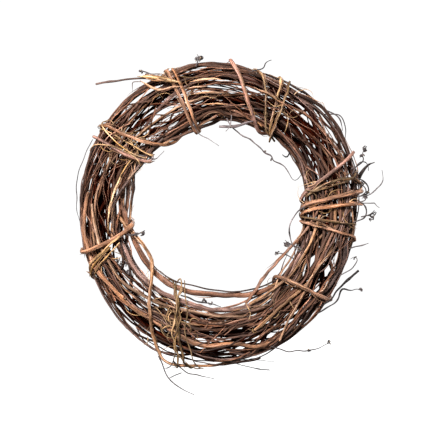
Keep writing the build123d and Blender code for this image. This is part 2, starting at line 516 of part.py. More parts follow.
def tie(name, radius, path, beads):
    """A vine stretched over the bundle like a cord, cornering where its straight stretches meet."""
    path = np.array(path, float)
    steps = max(3, round(abs(path[-1, 0] - path[0, 0]) / TIE_STEP))
    share = np.linspace(0, 1, steps + 1)
    way = path[0, 0] + share * (path[-1, 0] - path[0, 0])
    rising = path[::-1] if path[0, 0] > path[-1, 0] else path
    angle = np.interp(way, rising[:, 0], rising[:, 1])
    points = []
    for k in range(steps):
        turn = (angle[k] + angle[k + 1]) / 2
        first, middle = hull_reach(beads, turn, way[k], radius)
        second, _ = hull_reach(beads, turn, way[k + 1], radius)
        a, b = math.radians(way[k]), math.radians(way[k + 1])
        across = (first * math.sin(b) - second * math.sin(a)) / math.sin(b - a)
        forward = (second * math.cos(a) - first * math.cos(b)) / math.sin(b - a)
        points.append(ring_point(np.array([turn]), middle + across, np.array([-forward]))[0])
    points = np.array(points)
    inward = ring_point(angle[[0, -1]], np.full(2, middle), np.zeros(2)) - points[[0, -1]]
    inward *= TUCK / np.linalg.norm(inward, axis=1)[:, None]
    onward = points[[0, -1]] - points[[1, -2]]
    ends = points[[0, -1]] + inward + onward * END_REACH
    if name in FREE_ENDS:
        ends[0] = points[0] + onward[0] * FREE_REACH
    return Vine(name, radius, np.vstack([ends[:1], points, ends[1:]]), 1.0)


def as_beads(vines):
    """Every vine as close-set points with their radii."""
    beads = []
    for v in vines:
        knots = curve_knots(v.points)
        middles = (knots[:-1] + knots[1:]) / 2
        both = np.vstack([knots, middles])
        beads.append(np.column_stack([both, np.full(len(both), v.radius)]))
    return np.vstack(beads)


def settle(vines, fixed, steps, tighten):
    """Pulls the new vines tight by a share at a time, and pushes them off each other and the fixed ones."""
    for v in fixed:
        v.yields = 0.0
        v.closes_in = False
    crowd = Crowd(fixed + vines)
    for step in range(steps):
        if step % 8 == 0:
            crowd.find_pairs(2.0)
        if step < 0.5 * steps:
            inside = crowd.inside
            bend = (crowd.place[inside - 1] + crowd.place[inside + 1]) / 2 - crowd.place[inside]
            crowd.place[inside] += tighten * bend * crowd.yields[inside]
        crowd.push(TOUCH_GAP)
    crowd.done()


def lay_wreath():
    """Every vine, tie, twig and tendril, as lists of solids by the name of their piece."""
    bundle = lay_bundle()
    pieces = {}
    for v in bundle:
        pieces.setdefault(v.name, []).append(v)
    beads = as_beads([v for v in bundle if v.name not in OVER_THE_TIES])
    ties = []
    for name, radius, path in TIES:
        ties.append(tie(name, radius, path, beads))
        beads = np.vstack([beads, as_beads(ties[-1:])])
        pieces.setdefault(name, []).append(ties[-1])
    for name, strands in FINE_TIES:
        pieces[name] = []
        for radius, path in strands:
            ties.append(tie(name, radius, path, beads))
            beads = np.vstack([beads, as_beads(ties[-1:])])
            pieces[name].append(ties[-1])
    settle(ties, bundle, TIE_STEPS, TIGHTENING)
    loose = []
    for name, radius, path in TWIGS:
        path = np.array(path, float)[:, [0, 2, 1]]
        loose.append(Vine(name, radius, path, 1.0))
        pieces.setdefault(name, []).append(loose[-1])
    for name, strands in TENDRILS:
        pieces[name] = [Vine(name, r, np.array(path, float)[:, [0, 2, 1]], 1.0) for r, path in strands]
        loose += pieces[name]
    settle(loose, bundle + ties, LOOSE_STEPS, 0.0)
    return pieces


# ---- Solids
STRAIGHT_TURN = 1.5  # degrees: a joint that turns less than this is left out
LARGEST_BEND = 400.0


def centre_line(points):
    """Straight runs joined by arcs as wide as the runs allow."""
    points = np.array(points) - [0, 0, HANG_RADIUS]
    kept = [points[0]]
    for here, after in zip(points[1:-1], points[2:]):
        before = here - kept[-1]
        ahead = after - here
        cosine = before @ ahead / (np.linalg.norm(before) * np.linalg.norm(ahead))
        if math.degrees(math.acos(min(1.0, cosine))) > STRAIGHT_TURN:
            kept.append(here)
    kept.append(points[-1])
    runs = np.diff(kept, axis=0)
    lengths = np.linalg.norm(runs, axis=1)
    bends = []
    for k in range(1, len(runs)):
        cosine = runs[k - 1] @ runs[k] / (lengths[k - 1] * lengths[k])
        turn = math.acos(min(1.0, cosine))
        widest = 0.47 * min(lengths[k - 1], lengths[k]) / math.tan(turn / 2)
        bends.append(min(widest, LARGEST_BEND))
    return FilletPolyline(*[Vector(*p) for p in kept], radius=bends)


def vine_solid(vine):
    """A round rod along the vine's centre line."""
    path = centre_line(vine.points)
    return sweep(Plane(path @ 0, z_dir=path % 0) * Circle(vine.radius), path=path)


os.makedirs("parts", exist_ok=True)
for name, vines in lay_wreath().items():
    rods = [vine_solid(vine) for vine in vines]
    solids = [solid for rod in rods for solid in rod.solids()]
    export_step(Compound(solids), f"parts/{name}.step")
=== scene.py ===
import json
import math
import random

import bpy
import numpy as np
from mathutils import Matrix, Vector


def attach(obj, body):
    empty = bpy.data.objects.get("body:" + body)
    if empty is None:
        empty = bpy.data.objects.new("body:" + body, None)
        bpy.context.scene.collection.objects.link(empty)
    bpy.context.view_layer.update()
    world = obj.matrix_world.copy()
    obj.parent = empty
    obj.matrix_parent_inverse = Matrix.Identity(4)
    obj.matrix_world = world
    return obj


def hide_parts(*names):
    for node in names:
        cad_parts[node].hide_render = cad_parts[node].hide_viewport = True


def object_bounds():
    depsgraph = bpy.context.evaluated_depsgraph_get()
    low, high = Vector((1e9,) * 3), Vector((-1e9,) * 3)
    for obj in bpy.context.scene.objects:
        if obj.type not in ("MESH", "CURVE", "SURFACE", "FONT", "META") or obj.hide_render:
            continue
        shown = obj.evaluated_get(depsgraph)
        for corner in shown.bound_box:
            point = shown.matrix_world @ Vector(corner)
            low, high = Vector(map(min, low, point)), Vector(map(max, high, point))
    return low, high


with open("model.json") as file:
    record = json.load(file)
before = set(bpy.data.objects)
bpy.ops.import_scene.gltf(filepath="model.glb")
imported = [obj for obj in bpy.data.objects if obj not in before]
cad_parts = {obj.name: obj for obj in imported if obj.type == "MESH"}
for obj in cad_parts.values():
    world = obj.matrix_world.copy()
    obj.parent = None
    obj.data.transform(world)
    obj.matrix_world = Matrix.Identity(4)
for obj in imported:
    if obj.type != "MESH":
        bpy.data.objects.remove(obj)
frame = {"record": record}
CAD_BOX = [list(corner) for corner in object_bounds()]

# A wreath frame of dried grapevine. The centre lines of its vines are laid as they are in the CAD model, in
# millimetres from the ring's centre, and everything that is made from them is in metres in the CAD's frame.

# ---- The bundle's outline, read every 15 degrees counterclockwise from three o'clock, seen from the front
RING_INNER = [88, 92, 98, 100, 101, 101, 101, 96, 90, 92, 102, 95,
              95, 96, 98, 99, 97, 96, 97, 95, 92, 86, 84, 87]
RING_OUTER = [149, 155, 156, 155, 155, 156, 160, 159, 158, 154, 150, 147,
              146, 145, 147, 151, 156, 160, 160, 158, 153, 150, 146, 148]
HALF_DEPTH = [20, 18, 19, 21, 21, 20, 20, 19, 19, 20, 20, 20,
              20, 18, 18, 19, 21, 20, 21, 21, 20, 19, 20, 20]
HANG_RADIUS = 99.5  # the hook bears under the innermost vine, straight above the ring's centre

# ---- How the coiled vines are laid
STEP_DEG = 10.0  # a coiled vine has a joint every ten degrees of the ring
# Each kind: name, pieces, vines in a piece, first ring angle (none: spread round), sweep, radii, drift
VINE_KINDS = [
    ("coiled_vine", 10, 1, None, (690, 960), (0.95, 2.1), 1.6),
    ("single_vine", 13, 1, (232, 246), (298, 322), (0.9, 2.2), 1.8),
    ("thin_vines", 3, 10, None, (220, 520), (0.55, 1.0), 2.2),
]
LAY_SEED = 11
DRIFT_STEPS = (2, 6)  # a vine keeps its place in the bundle for about this many joints, and then drifts
KINK = 1.0  # sideways jog of a vine at its joints
TOUCH_GAP = 0.3  # clearance left between vines that lie against each other
PLACED_YIELD = 0.3  # how far the vines placed one by one give way, where a coiled vine's share is 1
SMOOTH_STEPS = 80
SMOOTHING = 0.15
OPEN_STEPS = 285  # after this many steps the gaps are no longer held open
HOMING_STEPS = 272  # until then the vines placed one by one are drawn back to their places
HOMING = 0.06
CLOSING_STEPS = 316  # until then the coiled ones are kept inside the outline
CLOSING = 0.6
RELAX_STEPS = 340
TIE_STEPS = 200
TIGHTENING = 0.05
LOOSE_STEPS = 400
GOLDEN = 0.618034  # the first joints of the coiled vines are spread round the ring by this share of a turn
THIN_BIAS = 1.5  # above 1, more of the vines are thin than thick
PUSH_SHARE = 0.5  # the part of an overlap that one push takes away
PAIR_STEPS = 12  # steps between one search for neighbours and the next
PAIR_REACH = 2.5  # mm of clearance within which two stretches count as neighbours
TIE_PAIR_STEPS = 8
TIE_PAIR_REACH = 2.0
TIGHT_SHARE = 0.5  # the ties are pulled tight during this share of their steps
CELL = 24.0  # mm across the boxes in which neighbours are looked up
CELL_ROW = 1000  # more boxes than the wreath takes up in any direction
OWN_REACH = 12  # half runs of one vine no further apart than this along it are never pushed apart

# ---- Vines of the bundle that are placed one by one: name, radius, (ring angle, ring radius, depth)
# Depth is measured from the bundle's middle and grows towards the wall.
PLACED_VINES = [
    ("slack_inner_vine", 2.9, [(150, 112, 2), (170, 101, -2), (190, 93.5, -4), (199, 90, -5),
        (210, 89.5, -5), (228, 89, -5), (238, 87, -4), (250, 86, -3), (258, 84, -2), (270, 83, -2),
        (279, 85, -2), (288, 89, -3), (294, 91.5, -4), (303, 93.5, -5), (315, 97, -6), (330, 104, -8),
        (345, 112, -8), (360, 118, -6)]),
    ("crossing_vine", 1.6, [(180, 104, -10), (187, 96, -10), (194, 88, -10), (203, 81.5, -9), (212, 81, -10),
        (220, 86, -14), (226, 97, -20), (230, 110, -24), (234, 122, -25), (238, 138, -23), (241, 152, -13),
        (244, 159, -8), (248, 162, -4), (254, 162, -2), (262, 160, 0), (272, 158, 2), (282, 155, 4),
        (292, 152, 6)]),
    ("slack_thin_vine", 0.8, [(218, 85, -9), (230, 84.5, -10), (240, 81, -9), (250, 78, -7), (265, 78, -6),
        (275, 80, -6), (287, 84, -8), (300, 88, -8), (315, 93, -5), (330, 99, -2)]),
    ("bottom_inner_vine", 2.4, [(180, 108, -6), (200, 104, -9), (215, 103, -10), (230, 101, -10),
        (240, 98, -9), (250, 97, -8), (260, 98.5, -8), (270, 100, -8), (285, 101, -9), (300, 101, -11),
        (315, 99, -12), (330, 97, -12), (350, 100, -10)]),
    ("lower_left_tan_vine", 2.2, [(170, 136, -13), (185, 141, -12), (196, 140, -12), (204, 138, -14),
        (210, 136, -16), (217, 132, -17), (231, 128, -18.5), (248, 130, -18.5), (262, 136, -17),
        (276, 141, -15), (290, 142, -14), (305, 139, -12)]),
    ("lower_left_slim_vine", 1.5, [(175, 131, -17), (190, 127, -17), (200, 124, -17.5), (215, 121, -18),
        (220, 119, -18), (230, 113, -17), (240, 108, -15), (255, 104, -13), (270, 105, -13),
        (285, 110, -16)]),
    ("pale_stems", 0.9, [(140, 106, -17), (154, 108, -18), (165, 109, -18.5), (175, 112, -18.5),
        (190, 115, -17)]),
    ("left_purple_vine", 1.2, [(125, 97, -9), (140, 96, -13), (150, 96, -14), (157, 98, -15),
        (166, 103, -16.5), (175, 107, -17), (190, 110, -15), (205, 112, -13), (220, 113, -11)]),
    ("left_dark_stems", 1.5, [(140, 104, -6), (150, 102, -8), (159, 97, -9), (165, 93, -9), (171, 91, -8),
        (178, 91, -6), (190, 97, -4), (205, 103, -2)]),
    ("left_dark_stems", 0.9, [(134, 97, -13), (141, 95, -13), (149, 95.5, -13), (158, 98.5, -12),
        (166, 104, -11), (174, 110, -10)]),
    ("top_outer_vines", 1.9, [(10, 146, -6), (20, 151, -5), (30, 152.5, -4), (40, 156, -3), (47, 157, -3),
        (57, 154, -4), (64, 152.5, -4), (72, 155, -3), (80, 158, -2), (88, 158.5, -2), (100, 158, -1),
        (112, 156, 0), (125, 154, 3), (138, 148, 7), (150, 143, 10)]),
    ("top_outer_vines", 1.1, [(22, 150, 2), (35, 153.5, 1), (45, 160, 0), (54, 158.5, 0), (66, 157, 1),
        (80, 156.5, 2), (92, 159.5, 2), (101, 160, 2), (112, 157.5, 4), (125, 154, 7), (140, 148, 11)]),
    ("lower_right_outer_vine", 2.9, [(290, 144, -2), (303, 139, -7), (312, 134, -10), (320, 133, -11),
        (329, 138, -10), (334, 142, -9), (339, 142, -9), (345, 138, -9), (355, 137, -8), (370, 140, -5)]),
    ("lower_right_front_vine", 1.5, [(290, 99, -14), (300, 97.5, -15), (310, 98, -16), (325, 99, -17),
        (337, 100, -17), (349, 103, -17.5), (360, 107, -18)]),
    ("lower_right_curved_vine", 1.0, [(295, 142, -15), (305, 135, -18), (312, 127, -20), (319, 120, -20.5),
        (326, 116.5, -21), (334, 117, -21), (341, 123, -20), (347, 133, -18), (355, 141, -12)]),
    ("lower_right_cut_vine", 1.6, [(288, 126, -20.5), (298, 119, -20.5), (305, 116, -20), (312, 115, -19.5),
        (320, 118, -18.5), (335, 124, -18), (350, 127, -18), (365, 124, -18)]),
    ("inner_bridging_vine", 1.5, [(288, 97, -5), (297, 88.5, -8), (304, 82, -9), (314, 79, -9),
        (326, 80, -9), (336, 84, -9), (346, 90, -11), (355, 99, -14), (365, 108, -17), (380, 118, -18)]),
    ("hanging_vine", 2.0, [(50, 105, 4), (60, 103, 3), (70, 102, 1), (80, 101.85, 0), (90, 101.85, 0),
        (100, 101.85, 0), (110, 98.5, 0), (120, 94.5, 0), (130, 95, 1), (140, 98, 2), (150, 101, 3),
        (160, 99, 4)]),
]

# ---- Gaps that show daylight right through the bundle: (ring angle, ring radius, half width)
GAPS = [
    (12, 151, 0.9), (17, 146, 0.8), (21, 147, 0.9), (29, 150.5, 1.1), (36, 149, 1.5), (42, 151.5, 2.2),
    (46, 150, 2), (51, 145, 0.9), (56, 128, 0.9), (58, 146, 1), (77, 136, 0.8), (87, 142.5, 0.8),
    (97, 155.5, 0.9), (112, 114, 1), (117.5, 113, 1.5), (118, 104.5, 1.9), (119.5, 149, 1.2),
    (123, 112, 1.3), (124.5, 105.5, 2.5), (126, 149, 1.3), (129, 104.5, 2.5), (131.5, 147, 1.2),
    (132, 136.5, 1.2), (133.5, 105, 1.2), (134, 119, 0.9), (148, 99, 1.2), (153, 100, 1.1),
    (164, 116, 0.9), (166, 107, 1.1), (168, 98, 1), (174, 105, 1.3), (186, 112, 0.9), (193, 99, 1.4),
    (197, 97.5, 1.9), (199, 112, 1.1), (201.5, 95.5, 2), (205, 96, 1.4), (205.5, 113, 2.8),
    (209.5, 110, 2.6), (216, 108.5, 1.5), (219.5, 113, 1.2), (223, 107.5, 1), (223, 124, 0.8),
    (232, 104, 1), (229, 126, 0.8), (234, 147.5, 1.3), (238, 148, 1), (245, 154, 1.1), (251, 159, 0.9),
    (266, 132.5, 1.1), (271.5, 131.5, 1.3), (263, 140.5, 0.9), (272, 143, 1), (276, 131, 1),
    (275, 149, 0.9), (281, 141, 0.9), (284, 155, 1.4), (288, 140.5, 0.9), (294, 137.5, 1),
    (299, 138, 1.1), (304, 135, 1.4), (309, 132, 1.2), (324, 130, 2.5), (328.5, 108.5, 1.2),
    (333, 130.5, 3), (334.5, 109.5, 1.9), (336, 124, 1.3), (337.5, 132.5, 2.1), (341, 133.5, 1.3),
    (358, 126, 0.8),
]
GAP_DEPTHS = (-27, -13.5, 0, 13.5, 27)  # each gap is kept clear as if a rod went through it

# ---- Ties: shorter vines wound across the bundle. Each is a list of (direction, ring angle), the direction
# running round the bundle's own cross-section: 0 outer edge, 90 front, 180 hole side, 270 wall side.
TIES = [
    ("tie_upper_left_outer", 1.9, [(5, 147.5), (30, 147.5), (60, 147), (90, 146), (120, 144.5), (150, 142),
        (180, 139), (225, 135), (270, 133)]),
    ("tie_upper_left_inner", 1.7, [(-60, 144), (-30, 143), (0, 142), (40, 141), (70, 140), (100, 138),
        (125, 135), (145, 131), (163, 126), (176, 120), (190, 114), (225, 110)]),
    ("ties_top_left", 1.5, [(-10, 110), (10, 109.7), (50, 108.6), (90, 107.4), (130, 106), (170, 105),
        (210, 104), (250, 102.5), (290, 101)]),
    ("ties_top_left", 1.2, [(0, 106.6), (20, 106.4), (60, 105.6), (100, 104.4), (140, 103), (180, 102),
        (220, 101), (260, 100)]),
    ("tie_top_right", 1.9, [(30, 85.5), (60, 80.5), (90, 75), (120, 70), (150, 65), (180, 60.5), (215, 57),
        (250, 54), (290, 51), (320, 49)]),
    ("tie_right_upper", 2.0, [(5, 24.6), (30, 24), (60, 22.7), (90, 20.7), (120, 17.5), (150, 13), (180, 9),
        (210, 5), (245, 2), (280, 0), (315, -2)]),
    ("ties_right_middle", 2.0, [(-50, 10), (-15, 9), (20, 9.2), (55, 9.8), (90, 9), (120, 7.5), (150, 5.5),
        (180, 3.5), (215, 1.5), (250, 0), (290, -2), (320, -4)]),
    ("ties_right_middle", 1.8, [(-45, 5), (-10, 4.6), (30, 5.2), (60, 5.6), (90, 5.2), (120, 4), (150, 1.5),
        (180, -1), (215, -3), (250, -5), (285, -6)]),
    ("tie_right_lower", 1.3, [(-60, -12), (-20, -9), (20, -8.5), (60, -8.5), (90, -8), (120, -6.5),
        (150, -5), (180, -3), (215, -2), (255, -3), (295, -6)]),
    ("tie_lower_right", 1.8, [(-60, 326), (-20, 324.5), (10, 323.4), (45, 322), (75, 320.3), (105, 318.8),
        (135, 316.6), (165, 313.5), (195, 310.5), (230, 308), (270, 307), (310, 307)]),
    ("tie_left", 2.0, [(-50, 193), (-15, 195), (20, 196.6), (50, 196.8), (85, 195.6), (115, 193.3),
        (145, 189.7), (175, 185.5), (205, 182), (240, 180), (280, 179), (320, 179)]),
]
OVER_THE_TIES = ("inner_bridging_vine", "slack_thin_vine", "left_dark_stems")
FREE_ENDS = ("tie_upper_left_outer", "tie_right_upper")  # these start beyond the ring's outer edge
FINE_TIES = [
    ("fine_ties_left", [
        (1.1, [(-50, 209), (-15, 207.5), (20, 205.5), (50, 202), (80, 199.3), (105, 196)]),
        (1.0, [(-30, 206), (5, 204.5), (35, 201), (65, 198.3), (92, 195.3), (112, 192)]),
        (0.7, [(15, 208), (45, 206), (75, 203), (100, 199), (118, 196)]),
    ]),
    ("fine_ties_top", [
        (1.0, [(-30, 77), (0, 75.5), (35, 72.5), (65, 68), (95, 64), (125, 61), (155, 57.5), (185, 55)]),
        (1.1, [(-40, 66.5), (0, 65.5), (35, 64.4), (70, 62.8), (100, 60.8), (130, 57.5), (165, 54),
            (190, 52)]),
        (1.0, [(-45, 61), (-10, 62.5), (25, 61.6), (60, 59.8), (95, 58), (130, 56), (160, 54.6), (185, 54)]),
        (0.8, [(-30, 145), (0, 143.5), (40, 142.5), (80, 141), (115, 140), (150, 139), (185, 136)]),
        (0.6, [(-10, 153), (20, 150.5), (50, 146), (80, 144.5), (110, 142.5), (140, 144), (165, 148)]),
        (0.7, [(-20, 139), (10, 140), (40, 143), (70, 146.5), (100, 148.5), (125, 146), (150, 141)]),
    ]),
    ("fine_ties_right", [
        (1.4, [(-60, 9), (-25, 10.5), (5, 13), (35, 15.5), (65, 17), (90, 17.2), (115, 15.5), (140, 12)]),
        (1.0, [(5, -4), (20, -4.3), (45, -4.5), (80, -4), (110, -3), (140, -1)]),
        (0.8, [(0, 20), (30, 17.5), (60, 14), (90, 11.8), (120, 12.5), (150, 16)]),
    ]),
    ("fine_ties_lower_left", [
        (1.0, [(200, 232), (170, 236), (140, 240), (115, 246.5), (90, 251.5), (60, 254.5), (30, 257),
            (0, 259.5), (-30, 262)]),
        (0.8, [(205, 235), (175, 238.5), (145, 241), (118, 244.5), (92, 249), (62, 254), (32, 255.5),
            (0, 256), (-30, 256)]),
        (0.7, [(200, 239.5), (170, 240.5), (140, 243), (112, 247.5), (86, 250), (58, 250.5), (28, 252),
            (0, 255)]),
        (0.7, [(195, 242.5), (165, 241.5), (138, 242), (110, 243), (85, 246.5), (58, 250), (30, 254),
            (5, 259), (-20, 264)]),
        (0.6, [(185, 244), (155, 244.5), (128, 246), (102, 252.5), (76, 257.5), (48, 259.5), (20, 262),
            (-10, 265)]),
    ]),
]
TIE_STEP = 22.0  # degrees of direction between a tie's joints
TUCK = 5.0  # how far a tie's ends turn in under the vines
END_REACH = 0.35  # how far a tie runs on past its last corner, as a share of its last stretch
FREE_REACH = 0.6
TIE_WINDOW = 5.5  # a tie bears on what passes within this many millimetres of it along the ring

# ---- Loose ends: name, radius and points, each x to the right of and z above the ring's centre, and depth
TWIGS = [
    ("twigs_top_left", 1.0, [(-127, 137, -5), (-118, 138.5, -6), (-107, 140, -7), (-95, 142, -9),
        (-83, 142.5, -12), (-70, 142, -15), (-58, 141.5, -17), (-46, 139, -18)]),
    ("pale_stems", 1.9, [(-38, 137.5, -23.5), (-48, 139.5, -23.5), (-59, 141.5, -22.5), (-70, 143.5, -20),
        (-83, 144.5, -16)]),
    ("spike_right", 2.2, [(144, 28, 16), (147, 33.5, 14), (149.5, 39, 12), (152, 44.5, 10), (156, 49.5, 8),
        (161, 53.5, 7), (166, 55.5, 6)]),
    ("twigs_below", 1.6, [(104, -97, -13), (114, -91, -13), (122, -82, -12), (130, -74, -11),
        (136, -68, -10), (142, -63.5, -9), (148, -58, -8)]),
    ("twigs_below", 0.7, [(8, -150, -13), (22, -156, -12), (36, -159.5, -10), (55, -162, -9)]),
    ("twigs_below", 0.6, [(22, -150, -16), (34, -151, -15), (46, -151.5, -13), (60, -152.5, -11)]),
]
TENDRILS = [
    ("tendrils_in_the_hole", [
        (0.45, [(10, 101, -10), (14, 94, -10), (20, 88, -10), (26, 82, -10), (34, 80, -9), (39, 75, -9),
            (46, 71, -9), (50, 64, -9), (57, 62, -9), (58, 57, -9), (65, 54, -9), (71, 50, -9), (76, 43, -9),
            (79, 37, -9), (83, 36, -9), (89, 44, -9), (96, 47, -10)]),
        (0.4, [(-22, 104, -12), (-25, 97, -12), (-27, 91, -12), (-18, 83, -12), (-4, 77, -12),
            (2, 72, -12)]),
        (0.9, [(2, 92, -14), (14, 92, -14), (26, 94, -15), (38, 98, -16)]),
        (0.5, [(15, 104, -17), (15, 98, -16.5), (14, 92, -16), (9, 87, -16)]),
        (0.5, [(-90, 62, -14), (-80, 62, -13), (-72, 61, -12), (-67, 58, -12), (-61, 60, -12),
            (-55, 67, -12)]),
        (0.6, [(-98, -20, -14), (-92, -21, -13), (-87, -20, -12), (-81, -19, -12), (-75, -16, -12)]),
        (0.45, [(92, 9, -12), (85, 5, -12), (80, -1, -12), (76, -11, -12), (75, -21, -12), (78, -31, -12),
            (86, -38, -13)]),
        (0.5, [(88, -36, -8), (81, -33, -8), (74, -30, -8), (71, -26, -8)]),
        (0.5, [(80, -46, -6), (72, -42, -6), (64, -39, -6), (60, -41, -6)]),
        (0.6, [(76, 66, -13), (74, 61, -13), (71, 60, -13), (68, 63, -13)]),
        (0.5, [(-38, -84, -9), (-30, -87, -8), (-22, -90, -7), (-14, -91, -7), (-6, -93, -7), (4, -96, -8)]),
    ]),
    ("tendrils_outside", [
        (0.5, [(-60, -146, -8), (-57, -157, -7), (-50, -173, -6), (-39, -181, -6), (-24, -188, -7)]),
        (0.45, [(-46, -152, -9), (-34, -164, -9), (-20, -168, -9), (-3, -171, -9)]),
        (0.5, [(56, -136, -12), (66, -140, -13), (75, -143, -13), (84, -141, -13), (93, -142, -13),
            (103, -140, -13), (110, -137, -12), (118, -133, -12)]),
        (0.5, [(104, -103, -10), (119, -96, -10), (126, -89, -10), (128, -79, -10), (132, -76, -10),
            (140, -80, -10), (146, -77, -10), (151, -78, -10)]),
        (0.45, [(128, -63, -14), (138, -59, -14), (144, -50, -14), (146, -46, -14), (143, -43, -14),
            (139, -46, -14)]),
        (0.5, [(140, 48, -12), (148, 52, -12), (153, 58, -12), (151, 63, -12), (154, 69, -12)]),
        (0.5, [(142, -8, -11), (147, -6, -12), (155, -3, -12), (157, 4, -12), (153, 12, -12),
            (147, 16, -11)]),
        (0.4, [(147, 19, -13), (156, 20, -13), (164, 24, -13), (171, 32, -12), (174, 40, -12),
            (172, 47, -12)]),
        (0.5, [(150, -2, -13), (156, -1, -14), (161, 1, -14), (164, 5, -14)]),
        (0.5, [(36, 150, -9), (44, 152, -9), (49, 154, -9), (51, 160, -9), (57, 162, -9)]),
        (0.5, [(-22, 155, -8), (-20, 161, -8), (-18, 165, -8), (-21, 168, -8)]),
        (0.45, [(113, 106, 6), (121.5, 107, 6), (130, 105, 5), (134.5, 98, 6), (135.5, 90, 6), (134, 83, 6),
            (132, 73, 6)]),
        (0.55, [(115, 109, -9), (121, 106, -9), (127, 102, -9), (131, 95, -10), (131, 88, -11)]),
        (0.45, [(150, 12, -12), (157, 12, -12), (165, 13.5, -12), (166, 9.5, -12), (169.5, 7.5, -12)]),
        (0.45, [(141, 43, -14), (145.5, 50, -15), (149, 55, -15), (154.5, 56, -15), (158, 51.5, -15),
            (157.5, 46, -15)]),
        (0.5, [(138, -35, -12), (148, -32.5, -11), (158, -29.5, -11)]),
        (0.35, [(-130, 79, -8), (-139, 62, -9), (-145.5, 42, -9), (-147.5, 22, -9), (-146.5, 5, -8),
            (-143, -8, -8)]),
        (0.5, [(-79, 151, -4), (-72, 148, -5), (-64, 148, -6), (-54, 147, -7)]),
    ]),
]


def around(values, angle):
    """A value listed at even steps round the ring, at any angle."""
    marks = np.arange(0, 360, 360 / len(values))
    return np.interp(np.asarray(angle, float) % 360, marks, values, period=360)


def ring_point(angle, reach, depth):
    """Ring angle in degrees, ring radius and depth as x right, y to the wall and z up, from the centre."""
    turn = np.radians(angle)
    return np.column_stack([reach * np.cos(turn), depth * np.ones_like(turn), reach * np.sin(turn)])


def outline(angle):
    """The bundle's inner radius, outer radius and half depth at a ring angle."""
    return (around(values, angle) for values in (RING_INNER, RING_OUTER, HALF_DEPTH))


def hand_placed(points):
    """Listed points of x, z and depth as x, y and z."""
    return np.array(points, float)[:, [0, 2, 1]]


def eased(share):
    """A share from 0 to 1 that starts and ends gently."""
    return share * share * (3 - 2 * share)


class Vine:
    """A vine as the control points of its centre line, with how far others may push it: 0 fixed, 1 free."""

    def __init__(self, name, radius, points, yields, closes_in=False):
        self.name = name
        self.radius = radius
        self.points = np.array(points, float)
        self.yields = yields
        self.closes_in = closes_in  # kept inside the bundle's outline


def curve_knots(points):
    """The centre line at every control point and half way between: a quadratic B-spline's own values."""
    middles = (points[:-1] + points[1:]) / 2
    knots = np.empty((2 * len(points) - 1, 3))
    knots[1::2] = middles
    knots[0], knots[-1] = points[0], points[-1]
    knots[2:-1:2] = (points[:-2] + 6 * points[1:-1] + points[2:]) / 8
    return knots


def drifting_place(rng, count, drift):
    """A place in the bundle's cross-section, in a unit disc, that wanders slowly along a vine."""
    def spot():
        reach, turn = math.sqrt(rng.random()), rng.uniform(0, 2 * math.pi)
        return np.array([reach * math.cos(turn), reach * math.sin(turn)])

    marks, spots = [0], [spot()]
    while marks[-1] < count:
        marks.append(marks[-1] + rng.randint(*DRIFT_STEPS))
        moved = spots[-1] + drift * spot()
        spots.append(moved / max(1.0, np.linalg.norm(moved)))
    spots = np.array(spots)
    at = np.arange(count)
    before = np.searchsorted(marks, at, side="right") - 1
    share = (at - np.array(marks)[before]) / np.diff(marks)[before]
    share = eased(share)[:, None]
    return spots[before] * (1 - share) + spots[before + 1] * share


def coiled_vines(rng):
    """The vines that wander through the bundle: some wound round two or three times, others laid once."""
    vines = []
    for kind, pieces, each, starts, sweeps, (thin, thick), drift in VINE_KINDS:
        for number in range(pieces * each):
            spread = 360 * (number * GOLDEN % 1)
            first = rng.uniform(*starts) if starts else round(spread / STEP_DEG) * STEP_DEG
            angle = first + STEP_DEG * np.arange(round(rng.uniform(*sweeps) / STEP_DEG) + 1)
            radius = round(thin + (thick - thin) * rng.random() ** THIN_BIAS, 2)
            place = drifting_place(rng, len(angle), drift)
            inner, outer, deep = outline(angle)
            reach = (inner + outer) / 2 + place[:, 0] * (outer - inner) / 2
            points = ring_point(angle, reach, place[:, 1] * deep)
            vines.append(Vine(f"{kind}_{number // each + 1:02d}", radius, points, 1.0, True))
    return vines


def placed_vines():
    """The vines placed one by one, with a joint at every step of the ring like the coiled ones."""
    vines = []
    for name, radius, path in PLACED_VINES:
        path = np.array(path, float)
        angle = np.linspace(path[0, 0], path[-1, 0], round((path[-1, 0] - path[0, 0]) / STEP_DEG) + 1)
        reach, depth = (np.interp(angle, path[:, 0], path[:, k]) for k in (1, 2))
        fixed = name == "hanging_vine"
        vines.append(Vine(name, radius, ring_point(angle, reach, depth), 0.0 if fixed else PLACED_YIELD))
    return vines


def gap_rods():
    """A fixed rod through each gap, round which the vines are laid."""
    depths = np.array(GAP_DEPTHS, float)
    return [Vine("gap", wide, ring_point(angle + 0 * depths, reach, depths), 0.0)
            for angle, reach, wide in GAPS]


def closest(p, d, q, e):
    """Shares along the segments p to p + d and q to q + e where each is closest to the other."""
    r = p - q
    dd, ee, de = (d * d).sum(1), (e * e).sum(1), (d * e).sum(1)
    dr, er = (d * r).sum(1), (e * r).sum(1)
    s = np.clip((de * er - dr * ee) / np.maximum(dd * ee - de * de, 1e-6), 0, 1)
    t = np.clip((de * s + er) / ee, 0, 1)
    s = np.clip((de * t - dr) / dd, 0, 1)
    return s, t


def nearest(a, along, one, two):
    """Where each pair of half runs is closest, and the way from the second of the pair to the first."""
    s, t = closest(a[one], along[one], a[two], along[two])
    return s, t, a[one] + s[:, None] * along[one] - a[two] - t[:, None] * along[two]


